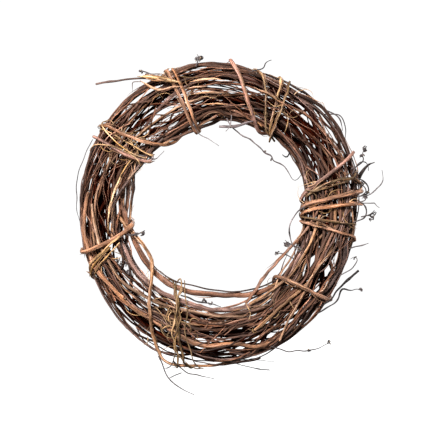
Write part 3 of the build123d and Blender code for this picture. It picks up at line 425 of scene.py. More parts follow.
class Crowd:
    """All vines at once, as arrays, so that they can be pushed apart together."""

    def __init__(self, vines):
        self.vines = vines
        count = np.array([len(v.points) for v in vines])
        self.place = np.vstack([v.points for v in vines])
        self.home = self.place.copy()
        self.owner = np.repeat(np.arange(len(vines)), count)
        self.radius = np.repeat([v.radius for v in vines], count)
        self.yields = np.repeat([v.yields for v in vines], count)[:, None]
        self.closes_in = np.repeat([v.closes_in for v in vines], count)
        same = self.owner[1:] == self.owner[:-1]
        self.inside = np.flatnonzero(same[1:] & same[:-1]) + 1
        # half runs: from a control point to the middle of the next run, and from there to the next point
        run = np.flatnonzero(same)
        self.start = np.repeat(run, 2)
        self.second = np.tile([0, 1], len(run))
        self.pairs = None

    def knots(self):
        """Both ends of every half run, on the curve."""
        p = self.place
        q = p.copy()
        q[self.inside] = (p[self.inside - 1] + 6 * p[self.inside] + p[self.inside + 1]) / 8
        middle = (p[self.start] + p[self.start + 1]) / 2
        late = self.second[:, None] == 1
        return np.where(late, middle, q[self.start]), np.where(late, q[self.start + 1], middle)

    def find_pairs(self, reach):
        """Pairs of half runs of different vines, or far apart on one, that are nearly touching."""
        a, b = self.knots()
        middle, along = (a + b) / 2, b - a
        half = np.sqrt((along * along).sum(1)) / 2
        radius, owner = self.radius[self.start], self.owner[self.start]
        key = np.floor(middle / CELL).astype(int)
        code = (key[:, 0] * CELL_ROW + key[:, 1]) * CELL_ROW + key[:, 2]
        order = np.argsort(code, kind="stable")
        codes = code[order]
        found = []
        for dx in (-1, 0, 1):
            for dy in (-1, 0, 1):
                for dz in (-1, 0, 1):
                    near = code + (dx * CELL_ROW + dy) * CELL_ROW + dz
                    low = np.searchsorted(codes, near, "left")
                    high = np.searchsorted(codes, near, "right")
                    many = high - low
                    one = np.repeat(np.arange(len(code)), many)
                    skip = np.cumsum(many) - many
                    two = order[np.repeat(low - skip, many) + np.arange(many.sum())]
                    keep = one < two
                    one, two = one[keep], two[keep]
                    apart = middle[one] - middle[two]
                    limit = half[one] + half[two] + radius[one] + radius[two] + reach
                    keep = (apart * apart).sum(1) < limit * limit
                    keep &= (owner[one] != owner[two]) | (np.abs(one - two) > OWN_REACH)
                    keep &= (self.yields[self.start[one], 0] > 0) | (self.yields[self.start[two], 0] > 0)
                    found.append(np.column_stack([one[keep], two[keep]]))
        pairs = np.vstack(found)
        one, two = pairs[:, 0], pairs[:, 1]
        _, _, apart = nearest(a, along, one, two)
        keep = np.sqrt((apart * apart).sum(1)) < radius[one] + radius[two] + reach
        self.pairs = pairs[keep]

    def overlaps(self):
        """How far each pair of half runs is into the other, and the way out."""
        a, b = self.knots()
        along = b - a
        one, two = self.pairs[:, 0], self.pairs[:, 1]
        s, t, apart = nearest(a, along, one, two)
        far = np.sqrt((apart * apart).sum(1)) + 1e-9
        over = self.radius[self.start[one]] + self.radius[self.start[two]] - far
        return one, two, s, t, apart / far[:, None], over

    def push(self, gap):
        """Moves what is closer than the gap apart, each by its share."""
        one, two, s, t, way, over = self.overlaps()
        hit = over > -gap
        one, two, s, t, way, over = one[hit], two[hit], s[hit], t[hit], way[hit], over[hit] + gap
        give_one, give_two = self.yields[self.start[one], 0], self.yields[self.start[two], 0]
        total = give_one + give_two
        shift = np.zeros_like(self.place)
        for run, share, give, sign in ((one, s, give_one, 1), (two, t, give_two, -1)):
            move = sign * way * (over * give / total)[:, None]
            late = (self.second[run] + share) / 2  # how far along the whole run, as a share of it
            for axis in range(3):
                shift[:, axis] += np.bincount(self.start[run], move[:, axis] * (1 - late), len(shift))
                shift[:, axis] += np.bincount(self.start[run] + 1, move[:, axis] * late, len(shift))
        self.place += PUSH_SHARE * shift

    def smooth(self, share):
        """Draws each joint of the coiled vines towards the ring's own curve between its neighbours."""
        bend = (self.place[self.inside - 1] + self.place[self.inside + 1]) / 2 - self.place[self.inside]
        free = (self.yields[self.inside, 0] == 1)[:, None]
        # a coiled vine should keep the ring's own curve, so only the change of bend is smoothed away
        turn = self.place[self.inside] * [1, 0, 1] * (math.cos(math.radians(STEP_DEG)) - 1)
        self.place[self.inside] += share * (bend - turn) * free

    def close_in(self):
        """Draws the coiled vines back inside the bundle's outline."""
        angle = np.degrees(np.arctan2(self.place[:, 2], self.place[:, 0]))
        reach = np.hypot(self.place[:, 0], self.place[:, 2])
        inner, outer, deep = outline(angle)
        middle, half = (inner + outer) / 2, (outer - inner) / 2 - self.radius
        deep = deep - self.radius
        u, v = (reach - middle) / half, self.place[:, 1] / deep
        beyond = np.hypot(u, v)
        scale = np.where(self.closes_in & (beyond > 1), 1 + CLOSING * (1 / np.maximum(beyond, 1) - 1), 1.0)
        reach = np.where(scale < 1, middle + u * scale * half, reach)
        depth = np.where(scale < 1, v * scale * deep, self.place[:, 1])
        self.place = ring_point(angle, reach, depth)

    def done(self):
        """Gives every vine its points as they are now."""
        at = 0
        for v in self.vines:
            v.points = self.place[at:at + len(v.points)].copy()
            at += len(v.points)


def lay_bundle():
    """The coiled and placed vines, pushed apart until they only lie against each other."""
    rng = random.Random(LAY_SEED)
    vines = coiled_vines(rng) + placed_vines()
    crowd = Crowd(vines + gap_rods())
    kinks = np.array([[rng.gauss(0, KINK) for _ in range(3)] for _ in range(len(crowd.place))])
    for step in range(RELAX_STEPS):
        if step % PAIR_STEPS == 0:
            crowd.find_pairs(PAIR_REACH)
        if step == SMOOTH_STEPS:
            crowd.place += kinks * (crowd.yields == 1)
        if step == OPEN_STEPS:
            crowd.radius *= crowd.owner < len(vines)
        crowd.push(TOUCH_GAP)
        if step < SMOOTH_STEPS:
            crowd.smooth(SMOOTHING)
        if step < HOMING_STEPS:
            crowd.place += HOMING * (crowd.home - crowd.place) * (crowd.yields == PLACED_YIELD)
        if step < CLOSING_STEPS:
            crowd.close_in()
    crowd.done()
    return vines


def hull_reach(beads, angle, direction, radius):
    """How far out a tie's centre line lies from the bundle's middle, facing a direction."""
    turn, facing = math.radians(angle), math.radians(direction)
    middle = (around(RING_INNER, angle) + around(RING_OUTER, angle)) / 2
    across = beads[:, :3] @ np.array([math.cos(turn), 0, math.sin(turn)])
    along = beads[:, :3] @ np.array([-math.sin(turn), 0, math.cos(turn)])
    near = (np.abs(along) < TIE_WINDOW) & (across > 0)
    out = (across - middle) * math.cos(facing) - beads[:, 1] * math.sin(facing) + beads[:, 3]
    return out[near].max() + radius + TOUCH_GAP, middle


def tie(name, radius, path, beads):
    """A vine stretched over the bundle like a cord, cornering where its straight stretches meet."""
    path = np.array(path, float)
    steps = max(3, round(abs(path[-1, 0] - path[0, 0]) / TIE_STEP))
    share = np.linspace(0, 1, steps + 1)
    way = path[0, 0] + share * (path[-1, 0] - path[0, 0])
    rising = path[::-1] if path[0, 0] > path[-1, 0] else path
    angle = np.interp(way, rising[:, 0], rising[:, 1])
    points = []
    for k in range(steps):
        turn = (angle[k] + angle[k + 1]) / 2
        first, middle = hull_reach(beads, turn, way[k], radius)
        second, _ = hull_reach(beads, turn, way[k + 1], radius)
        a, b = math.radians(way[k]), math.radians(way[k + 1])
        across = (first * math.sin(b) - second * math.sin(a)) / math.sin(b - a)
        forward = (second * math.cos(a) - first * math.cos(b)) / math.sin(b - a)
        points.append(ring_point(np.array([turn]), middle + across, np.array([-forward]))[0])
    points = np.array(points)
    inward = ring_point(angle[[0, -1]], np.full(2, middle), np.zeros(2)) - points[[0, -1]]
    inward *= TUCK / np.linalg.norm(inward, axis=1)[:, None]
    onward = points[[0, -1]] - points[[1, -2]]
    ends = points[[0, -1]] + inward + onward * END_REACH
    if name in FREE_ENDS:
        ends[0] = points[0] + onward[0] * FREE_REACH
    return Vine(name, radius, np.vstack([ends[:1], points, ends[1:]]), 1.0)


def as_beads(vines):
    """Every vine as close-set points with their radii."""
    beads = []
    for v in vines:
        knots = curve_knots(v.points)
        middles = (knots[:-1] + knots[1:]) / 2
        both = np.vstack([knots, middles])
        beads.append(np.column_stack([both, np.full(len(both), v.radius)]))
    return np.vstack(beads)


def settle(vines, fixed, steps, tighten):
    """Pulls the new vines tight by a share at a time, and pushes them off each other and the fixed ones."""
    for v in fixed:
        v.yields = 0.0
        v.closes_in = False
    crowd = Crowd(fixed + vines)
    for step in range(steps):
        if step % TIE_PAIR_STEPS == 0:
            crowd.find_pairs(TIE_PAIR_REACH)
        if step < TIGHT_SHARE * steps:
            inside = crowd.inside
            bend = (crowd.place[inside - 1] + crowd.place[inside + 1]) / 2 - crowd.place[inside]
            crowd.place[inside] += tighten * bend * crowd.yields[inside]
        crowd.push(TOUCH_GAP)
    crowd.done()


def lay_wreath():
    """Every vine, tie, twig and tendril, as lists of solids by the name of their piece."""
    bundle = lay_bundle()
    pieces = {}
    for v in bundle:
        pieces.setdefault(v.name, []).append(v)
    beads = as_beads([v for v in bundle if v.name not in OVER_THE_TIES])
    ties = []
    for name, radius, path in TIES:
        ties.append(tie(name, radius, path, beads))
        beads = np.vstack([beads, as_beads(ties[-1:])])
        pieces.setdefault(name, []).append(ties[-1])
    for name, strands in FINE_TIES:
        pieces[name] = []
        for radius, path in strands:
            ties.append(tie(name, radius, path, beads))
            beads = np.vstack([beads, as_beads(ties[-1:])])
            pieces[name].append(ties[-1])
    settle(ties, bundle, TIE_STEPS, TIGHTENING)
    loose = []
    for name, radius, path in TWIGS:
        loose.append(Vine(name, radius, hand_placed(path), 1.0))
        pieces.setdefault(name, []).append(loose[-1])
    for name, strands in TENDRILS:
        pieces[name] = [Vine(name, radius, hand_placed(path), 1.0) for radius, path in strands]
        loose += pieces[name]
    settle(loose, bundle + ties, LOOSE_STEPS, 0.0)
    return pieces


# ---- From millimetres round the ring's centre to the frame's metres
MM = 0.001
RING_CENTRE = np.array([0.0, 0.0, -HANG_RADIUS]) * MM

# ---- How a vine's bark is shaped
RING_STEP = 1.5  # mm between a tube's rings
SIDES_PER_MM = 7.0  # sides of a tube for each millimetre of its radius
FEWEST_SIDES, MOST_SIDES = 8, 20
KNUCKLE_GAP = (38.0, 95.0)  # mm from one knuckle to the next
KNUCKLE_SWELL = (0.12, 0.38)
KNUCKLE_LENGTH = (2.6, 5.0)
RIDGES = [(2, 0.06), (3, 0.055), (5, 0.05), (7, 0.045)]  # how many ridges go round, and how high they are
WOBBLE = 0.28  # mm the centre line strays
WOBBLE_WAVES = (14, 55)  # mm, the shortest and longest wave of that
GIRTH_RIPPLE = 0.035
GIRTH_WAVES = (9, 40)
TWIST = 0.02  # radians to the millimetre that a ridge turns round the vine, at most
TWIST_WAVES = (60, 160)
RIDGE_WAVES = (20, 70)
BUD_HEIGHT = 0.22  # how far a knuckle stands out on its own side, as a share of the radius
BUD_LENGTH = 3.0
END_DOME = 0.12  # how far a cut end bulges, as a share of the radius
POINT = 0.12  # what is left of the girth at a pointed end, before the power below
POINT_POWER = 0.7
RIDGE_TONE = 4  # the ridge value in the materials, which paints shade in the grooves, is the height times this
TAPER = 0.12  # a vine's thin end is this much thinner, and its thick end as much thicker
SEED = 4


def smooth_line(points):
    """The quadratic B-spline of a control polygon, at even steps of RING_STEP."""
    fine = 14
    share = np.linspace(0, 1, fine, endpoint=False)[:, None]
    middles = (points[:-1] + points[1:]) / 2
    starts = np.vstack([points[:1], middles[1:-1]])
    ends = np.vstack([middles[1:-1], points[-1:]])
    line = [(1 - share) ** 2 * a + 2 * share * (1 - share) * b + share ** 2 * c
            for a, b, c in zip(starts, points[1:-1], ends)]
    line = np.vstack(line + [points[-1:]])
    along = np.concatenate([[0], np.cumsum(np.linalg.norm(np.diff(line, axis=0), axis=1))])
    count = max(4, round(along[-1] / RING_STEP))
    at = np.linspace(0, along[-1], count + 1)
    return np.column_stack([np.interp(at, along, line[:, k]) for k in range(3)]), at


def frames_along(line):
    """A direction across the line and another at right angles to it, turning no more than the line does."""
    ahead = np.gradient(line, axis=0)
    ahead /= np.linalg.norm(ahead, axis=1)[:, None]
    across = np.empty_like(line)
    side = np.cross(ahead[0], [0.0, 1.0, 0.0])
    if np.linalg.norm(side) < 0.1:
        side = np.cross(ahead[0], [1.0, 0.0, 0.0])
    for k, forward in enumerate(ahead):
        side = side - forward * (side @ forward)
        side = side / math.sqrt(side @ side)
        across[k] = side
    return ahead, across, np.cross(ahead, across)


def waves(rng, at, shortest, longest, count=5):
    """A smooth wandering value along a vine, mostly between -1 and 1."""
    total = np.zeros_like(at)
    for _ in range(count):
        total += np.sin(2 * math.pi * at / rng.uniform(shortest, longest) + rng.uniform(0, 2 * math.pi))
    return total / math.sqrt(count)


OPEN_LOOK = 3.0  # mm out from a point
OPEN_FROM = 0.62  # the share of the way out to the bundle's outline where the bark's painted shade starts to lift
OPEN_SPAN = 0.5  # the further share in which the painted shade is gone and the bark has its full colour


def openness(points, normals):
    """0 deep in the bundle to 1 at its surface, looking a little way out from each point. The bark's painted
    shade deep in the bundle is drawn from it.
    """
    seen = points + OPEN_LOOK * normals
    angle = np.degrees(np.arctan2(seen[:, 2], seen[:, 0]))
    reach = np.hypot(seen[:, 0], seen[:, 2])
    inner, outer, deep = outline(angle)
    u = (reach - (inner + outer) / 2) / ((outer - inner) / 2)
    share = np.clip((np.hypot(u, seen[:, 1] / deep) - OPEN_FROM) / OPEN_SPAN, 0, 1)
    return eased(share)


class MeshParts:
    """Vertices, faces and the values on them, gathered from several tubes into one mesh."""

    def __init__(self):
        self.points, self.grain, self.ridge, self.open, self.tone = [], [], [], [], []
        self.quads, self.fans, self.count = [], [], 0

    def add(self, points, grain, ridge, opened, tone, quads, fans):
        """Takes in one closed form. Its tone is the same at every point."""
        self.points.append(points)
        self.grain.append(grain)
        self.ridge.append(ridge)
        self.open.append(opened)
        self.tone.append(np.tile(tone, (len(points), 1)))
        self.quads.append(quads + self.count)
        self.fans.append(fans + self.count)
        self.count += len(points)

    def build(self, name, materials):
        """The mesh object, in metres in the CAD's frame. Fans close the cut ends, in the second material."""
        points = np.vstack(self.points) * MM + RING_CENTRE
        quads, fans = np.vstack(self.quads), np.vstack(self.fans)
        mesh = bpy.data.meshes.new(name)
        mesh.vertices.add(len(points))
        mesh.vertices.foreach_set("co", points.ravel())
        corners = np.concatenate([quads.ravel(), fans.ravel()])
        mesh.loops.add(len(corners))
        mesh.loops.foreach_set("vertex_index", corners)
        sizes = np.concatenate([np.full(len(quads), 4), np.full(len(fans), 3)])
        mesh.polygons.add(len(sizes))
        mesh.polygons.foreach_set("loop_start", np.concatenate([[0], np.cumsum(sizes)[:-1]]))
        mesh.update(calc_edges=True)
        mesh.polygons.foreach_set("use_smooth", np.ones(len(sizes), bool))
        mesh.polygons.foreach_set("material_index", (sizes == 3).astype(int))
        for title, kind, values in (("grain", "FLOAT_VECTOR", np.vstack(self.grain) * MM),
                                    ("tone", "FLOAT_VECTOR", np.vstack(self.tone)),
                                    ("ridge", "FLOAT", np.concatenate(self.ridge)),
                                    ("open", "FLOAT", np.concatenate(self.open))):
            layer = mesh.attributes.new(title, kind, "POINT")
            layer.data.foreach_set("vector" if kind == "FLOAT_VECTOR" else "value", values.ravel())
        for material in materials:
            mesh.materials.append(material)
        mesh.validate()
        piece = bpy.data.objects.new(name, mesh)
        bpy.context.scene.collection.objects.link(piece)
        return piece


def add_tube(parts, points, radius, rng, style):
    """One vine: a tube with knuckles, ridges that turn slowly round it, and cut or pointed ends."""
    line, at = smooth_line(points)
    length = at[-1]
    ahead, across, over = frames_along(line)
    slack = np.clip(np.minimum(at, length - at) / 8, 0, 1)
    wobble = style["wobble"] * slack
    for way in (across, over):
        line = line + way * (wobble * waves(rng, at, *WOBBLE_WAVES))[:, None]
    taper = style["taper"] * (1 if rng.random() < 0.5 else -1)
    ripple = GIRTH_RIPPLE * waves(rng, at, *GIRTH_WAVES)
    girth = style.get("girth", 1.0) * (1 + taper * (1 - 2 * at / length) + ripple)
    lump = np.zeros_like(at)
    spot = rng.uniform(5, KNUCKLE_GAP[1])
    knuckles = []
    while spot < length - 4:
        swell, spread = rng.uniform(*KNUCKLE_SWELL), rng.uniform(*KNUCKLE_LENGTH)
        lump += swell * np.exp(-((at - spot) / spread) ** 2)
        knuckles.append((spot, rng.uniform(0, 2 * math.pi)))
        spot += rng.uniform(*KNUCKLE_GAP) * style["knuckle_gap"]
    girth += lump * style["swell"]
    tip = style["tip"]
    if tip:
        to_go = np.minimum(at, length - at) if style.get("two_tips") else length - at
        girth *= np.clip(to_go / (tip * length), style.get("point", POINT), 1) ** POINT_POWER
    sides = style.get("sides") or int(min(MOST_SIDES, max(FEWEST_SIDES, round(radius * SIDES_PER_MM))))
    turn = np.arange(sides) * 2 * math.pi / sides
    ridge = np.zeros((len(at), sides))
    for many, high in RIDGES:
        if many * 2 < sides:
            drift = waves(rng, at, *TWIST_WAVES) * 1.2 + rng.uniform(0, 2 * math.pi)
            drift = drift + at * rng.uniform(-TWIST, TWIST)
            swing = 0.65 + 0.35 * waves(rng, at, *RIDGE_WAVES)
            ridge += high * swing[:, None] * np.cos(many * turn + drift[:, None])
    for spot, facing in knuckles:
        near = np.exp(-((at - spot) / BUD_LENGTH) ** 2)[:, None]
        ridge += BUD_HEIGHT * style["swell"] * near * np.cos(turn - facing)
    reach = radius * (girth[:, None] + ridge * style["ridges"])
    flat_over = over * style.get("squash", 1.0)
    out = across[:, None] * np.cos(turn)[None, :, None] + flat_over[:, None] * np.sin(turn)[None, :, None]
    rings = line[:, None] + out * reach[..., None]
    flat = rings.reshape(-1, 3)
    grain = np.empty((len(at), sides, 3))
    grain[..., 0] = radius * np.cos(turn)
    grain[..., 1] = radius * np.sin(turn)
    grain[..., 2] = at[:, None]
    offset = np.array([rng.uniform(0, 900), rng.uniform(0, 900), 0])
    opened = openness(flat, out.reshape(-1, 3))
    here = np.arange(len(at) - 1)[:, None] * sides
    one, two = np.arange(sides), (np.arange(sides) + 1) % sides
    quads = np.stack([here + one, here + two, here + sides + two, here + sides + one], axis=-1).reshape(-1, 4)
    # the ends: a shallow dome of cut wood, from two more points
    last = (len(at) - 1) * sides
    ends = np.array([line[0] - ahead[0] * END_DOME * radius, line[-1] + ahead[-1] * END_DOME * radius])
    first_fan = np.stack([np.full(sides, len(flat)), two, one], axis=-1)
    last_fan = np.stack([np.full(sides, len(flat) + 1), last + one, last + two], axis=-1)
    flat = np.vstack([flat, ends])
    grain = np.vstack([grain.reshape(-1, 3), [[0, 0, 0], [0, 0, length]]]) + offset
    tone = np.array([rng.uniform(*style.get("tone", (0, 1))), rng.random(), rng.random()])
    parts.add(flat, grain, np.concatenate([ridge.ravel() * RIDGE_TONE, [0, 0]]),
              np.concatenate([opened, [1, 1]]), tone, quads, np.vstack([first_fan, last_fan]))
    return line, at, ahead, across, over, reach, knuckles


# Each style scales what the constants above give. tip is the share of the length that narrows to a point.
PLAIN = {"wobble": WOBBLE, "taper": TAPER, "knuckle_gap": 1.0, "swell": 1.0, "ridges": 1.0, "tip": 0.0}
THIN = {"wobble": 0.35, "taper": 0.05, "knuckle_gap": 0.4, "swell": 1.5, "ridges": 1.0, "tip": 0.0}
TENDRIL = {"wobble": 0.5, "taper": 0.05, "knuckle_gap": 0.2, "swell": 2.4, "ridges": 0.8, "tip": 0.35,
           "girth": 1.3, "point": 0.45}
POINTED = {"wobble": WOBBLE, "taper": 0.0, "knuckle_gap": 0.5, "swell": 0.8, "ridges": 1.0, "tip": 0.6}
TIED = {**PLAIN, "wobble": 0.2, "tone": (0.5, 0.9)}
LIGHT = {**PLAIN, "tone": (0.55, 0.95)}
CURLY = {**THIN, "wobble": 1.2}
SPLIT = {**THIN, "tip": 0.3, "two_tips": True, "squash": 0.6, "tone": (0.7, 1.0)}
DARK = {**PLAIN, "tone": (0.0, 0.3)}
DARK_TWIG = {**DARK, "taper": 0.25, "girth": 0.62}
SPLINTER = {**PLAIN, "knuckle_gap": 9.0, "swell": 0.0, "tip": 0.4, "two_tips": True, "squash": 0.35,
            "tone": (0.75, 1.0), "sides": 8}
LIGHT_VINES = (
    "crossing_vine", "slack_inner_vine", "lower_left_tan_vine", "inner_bridging_vine", "bottom_inner_vine",
    "lower_right_front_vine", "lower_right_curved_vine", "lower_right_cut_vine",
)
BY_NAME = {
    **dict.fromkeys(LIGHT_VINES, LIGHT), "fine_ties_lower_left": CURLY, "pale_stems": SPLIT,
    "spike_right": POINTED, "twigs_below": DARK_TWIG, "left_dark_stems": DARK, "left_purple_vine": DARK,
}
# ---- Materials
DEEP_PAINTED_SHADE = (0.12, 0.028, 0.010, 1)  # painted shade: what the bark's colour is multiplied by deep inside the bundle, where the vines shade each other
PEELING = 0.5  # how strongly the peeled patches show


def node(tree, kind, inputs=None, **settings):
    """A shader node with its settings, and its inputs linked or set by name or place."""
    made = tree.nodes.new(kind)
    for key, value in settings.items():
        setattr(made, key, value)
    for key, value in (inputs or {}).items():
        if isinstance(value, bpy.types.NodeSocket):
            tree.links.new(value, made.inputs[key])
        else:
            made.inputs[key].default_value = value
    return made


def maths(tree, operation, first, second, clamp=False):
    """One arithmetic step on two values."""
    made = node(tree, "ShaderNodeMath", {0: first, 1: second}, operation=operation, use_clamp=clamp)
    return made.outputs[0]


def above(tree, value, start, slope):
    """How far a value is above a start, times a slope, kept between 0 and 1."""
    return maths(tree, "MULTIPLY", maths(tree, "SUBTRACT", value, start), slope, clamp=True)


def stored(tree, name, output="Vector"):
    """A value that the mesh carries at its points."""
    return node(tree, "ShaderNodeAttribute", attribute_name=name).outputs[output]


def roughen(tree, shader, strength, distance, height):
    """Bump on a shader, from a height."""
    bump = node(tree, "ShaderNodeBump", {"Strength": strength, "Distance": distance, "Height": height})
    tree.links.new(bump.outputs[0], shader.inputs["Normal"])


def between(tree, share, low, high):
    """A value from low to high as the share goes from 0 to 1."""
    made = node(tree, "ShaderNodeMapRange", {"Value": share, "To Min": low, "To Max": high})
    return made.outputs[0]


def mixed(tree, share, first, second, blend="MIX"):
    """Two colours mixed."""
    made = tree.nodes.new("ShaderNodeMix")
    made.data_type, made.blend_type = "RGBA", blend
    for socket, value in ((made.inputs[0], share), (made.inputs[6], first), (made.inputs[7], second)):
        if isinstance(value, bpy.types.NodeSocket):
            tree.links.new(value, socket)
        else:
            socket.default_value = value
    return made.outputs[2]


def new_material(name):
    """An empty node material with its Principled shader."""
    material = bpy.data.materials.new(name)
    material.use_nodes = True
    tree = material.node_tree
    tree.nodes.clear()
    shader = node(tree, "ShaderNodeBsdfPrincipled")
    out = node(tree, "ShaderNodeOutputMaterial")
    tree.links.new(shader.outputs[0], out.inputs[0])
    return material, tree, shader


def grain_noise(tree, grain, across, along, detail, rough):
    """Noise drawn out along the vine. Both scales are in cycles to the metre."""
    scales = (across, across, along)
    stretched = node(tree, "ShaderNodeVectorMath", {0: grain, 1: scales}, operation="MULTIPLY")
    made = node(tree, "ShaderNodeTexNoise",
                {"Vector": stretched.outputs[0], "Scale": 1.0, "Detail": detail, "Roughness": rough})
    return made.outputs[0]


def shade(colour, factor, pull=0.0):
    """A colour made lighter or darker, and pulled towards its own grey."""
    grey = sum(colour[:3]) / 3
    return tuple(min(1.0, (c + (grey - c) * pull) * factor) for c in colour[:3]) + (1.0,)


def bark(name, colour):
    """Dry stringy bark: long fibres, dark cracks and pale peeled patches, with painted shade in the grooves
    between its ridges and deep in the bundle.
    """
    material, tree, shader = new_material(name)
    grain = stored(tree, "grain")
    ridge = stored(tree, "ridge", "Fac")
    opened = stored(tree, "open", "Fac")
    tones = node(tree, "ShaderNodeSeparateXYZ", {0: stored(tree, "tone")}).outputs
    fibres = grain_noise(tree, grain, 750, 32, 6.0, 0.65)
    threads = grain_noise(tree, grain, 2200, 80, 3.0, 0.6)
    patches = grain_noise(tree, grain, 190, 22, 3.0, 0.55)
    flecks = grain_noise(tree, grain, 1300, 380, 2.0, 0.5)
    stains = grain_noise(tree, grain, 60, 34, 2.0, 0.5)
    ramp = node(tree, "ShaderNodeValToRGB", {0: fibres})
    stops = ramp.color_ramp
    stops.elements[0].position, stops.elements[0].color = 0.32, shade(colour, 0.16, -0.8)
    stops.elements[1].position, stops.elements[1].color = 0.70, shade(colour, 2.3, 0.34)
    stops.elements.new(0.43).color = shade(colour, 0.55, -0.45)
    stops.elements.new(0.55).color = shade(colour, 1.15, -0.05)
    body = ramp.outputs[0]
    peeled = above(tree, patches, 0.52, 9.0)
    peeled = maths(tree, "MULTIPLY", peeled, between(tree, tones[1], 0.1, 1.0), clamp=True)
    pale = mixed(tree, fibres, shade(colour, 1.2, 0.0), shade(colour, 2.9, 0.42))
    body = mixed(tree, maths(tree, "MULTIPLY", peeled, PEELING), body, pale)
    greyed = mixed(tree, between(tree, tones[2], 0.0, 0.22), body, shade(colour, 1.0, 0.7))
    dark_light = mixed(tree, between(tree, threads, -0.6, 1.6), (0.2, 0.15, 0.13, 1), (1.45, 1.42, 1.4, 1))
    strands = mixed(tree, 0.6, greyed, dark_light, "MULTIPLY")
    # lighter on the bark's ridges and darker between them: partly worn ridges, partly painted shade in the
    # grooves
    ridge_wear_and_shade = maths(tree, "ADD", maths(tree, "MULTIPLY", ridge, 1.4), 0.5, clamp=True)
    light = between(tree, ridge_wear_and_shade, 0.5, 1.15)
    spots = between(tree, above(tree, flecks, 0.34, 9.0), 0.35, 1.0)
    blotches = between(tree, above(tree, stains, 0.35, 3.3), 0.5, 1.5)
    for factor in (spots, between(tree, tones[0], 0.32, 1.64), blotches):
        light = maths(tree, "MULTIPLY", light, factor)
    # painted shade: the bark's colour is darkened deep inside the bundle, where the vines shade each other
    depth = mixed(tree, opened, DEEP_PAINTED_SHADE, (1, 1, 1, 1))
    strands = mixed(tree, 1.0, strands, depth, "MULTIPLY")
    lit = node(tree, "ShaderNodeVectorMath", {0: strands, "Scale": light}, operation="SCALE").outputs[0]
    tree.links.new(lit, shader.inputs["Base Color"])
    tree.links.new(between(tree, fibres, 0.92, 0.5), shader.inputs["Roughness"])
    shader.inputs["Specular IOR Level"].default_value = 0.2
    tree.links.new(between(tree, opened, 0.02, 0.25), shader.inputs["Specular IOR Level"])
    height = maths(tree, "ADD", fibres, maths(tree, "MULTIPLY", threads, 0.45))
    roughen(tree, shader, 1.0, 0.0008, height)
    return material


def cut_wood(name, colour):
    """The pale end grain of a cut vine, mottled and with open pores."""
    material, tree, shader = new_material(name)
    grain = stored(tree, "grain")
    pores = node(tree, "ShaderNodeTexVoronoi", {"Vector": grain, "Scale": 2400.0}).outputs["Distance"]
    mottle = grain_noise(tree, grain, 1800, 1800, 4.0, 0.6)
    body = mixed(tree, mottle, shade(colour, 0.55), shade(colour, 1.35))
    body = mixed(tree, between(tree, pores, 0.0, 0.8), body, shade(colour, 0.8))
    tree.links.new(body, shader.inputs["Base Color"])
    tree.links.new(between(tree, mottle, 0.7, 0.95), shader.inputs["Roughness"])
    roughen(tree, shader, 0.6, 0.0003, pores)
    return material


CUT = cut_wood("cut_end_grain", (0.46, 0.33, 0.20))
BARKS = {m["slot"]: bark(m["slot"] + "_bark", m["base_color"]) for m in frame["record"]["materials"]}
SLOT_OF = {s["node"]: s["material_slot"] for s in frame["record"]["subparts"]}


# ---- The vines, each one standing for its CAD node
def style_of(name):
    """How a piece's vines are shaped."""
    if name in BY_NAME:
        return BY_NAME[name]
    if name.startswith("tendrils"):
        return TENDRIL
    if name.startswith("fine"):
        return THIN
    if name.startswith("tie"):
        return TIED
    return PLAIN


def make_piece(name, parts, slot):
    """A finished piece on the wreath's one body."""
    piece = parts.build(name, [BARKS[slot], CUT])
    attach(piece, "root")
    return piece


pieces = lay_wreath()
laid = []
for number, (name, vines) in enumerate(pieces.items()):
    rng = random.Random(SEED * 1000 + number)
    parts = MeshParts()
    for vine in vines:
        shape = add_tube(parts, vine.points, vine.radius, rng, style_of(name))
        if SLOT_OF[name] not in ("twig_black", "tendril") and name != "twigs_top_left":
            laid.append((vine.radius, *shape))
    piece = make_piece(name + "_vine", parts, SLOT_OF[name])
    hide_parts(name)


# ---- Loose bark, shoots and fibres, which only the visual model has
SHRED_COUNT = 320
SHRED_LENGTH = (7.0, 30.0)
SHRED_WIDTH = (0.7, 1.9)
SHRED_THICK = 0.28
SHRED_LIFT = (0.5, 3.2)
SHRED_OPEN = 0.55  # a shred needs a place at least this open
STUB_OPEN = 0.4
SHRED_MARGIN = 12  # mm that a vine is longer than its shred, at least
STUB_SHARE = 0.35  # how many of the knuckles carry the stump of a side shoot
STRAY_COUNT = 230
WIDE_GAP = (104, 138)  # ring angles where the bundle is loosest, and fine stems lie across the gaps
WIDE_GAP_STRAYS = 26
CURL_PLACES = [  # ring angles, ring radii, how many, span of a curl in mm
    ((133, 153), (108, 150), 24, (10, 30)),
    ((100, 118), (118, 152), 8, (8, 28)),
    ((232, 262), (88, 156), 28, (10, 34)),
    ((0, 22), (96, 150), 16, (9, 28)),
    ((50, 74), (104, 150), 10, (8, 28)),
    ((284, 318), (92, 126), 10, (8, 28)),
    ((190, 210), (110, 146), 6, (8, 24)),
]
# Where a tendril ends in a tangle: x to the right of and z above the ring's centre, depth, and size
KNOTS = [
    (-18, 164, -8, 2.8), (-21, 163, -8, 2.0), (154, 69, -12, 2.7), (152, 61, -12, 2.4),
    (160, -2, -12, 3.8), (155, 17, -12, 2.6), (157, 24, -12, 1.6), (151, 33, -10, 2.4),
    (146, 46, -12, 1.8), (-79, -18, -12, 3.2), (-84, -20, -12, 2.0), (73, -30, -8, 3.2),
    (64, -40, -6, 2.6), (117, -133, -12, 2.2), (-79, 151, -5, 2.2), (-73, 148, -6, 1.8),
    (144, -45, -14, 1.6), (150, -78, -10, 1.6), (96, -141, -12, 1.4), (86, -36, -12, 2.6),
    (15, 92, -15, 1.6), (-98, -52, -15, 4.0), (-104, -47, -14, 2.6), (-92, -61, -15, 3.2),
    (-13, -90, -7, 2.2), (-7, -92, -7, 1.8), (57, 58, -9, 1.2), (50, 66, -9, 1.0),
]
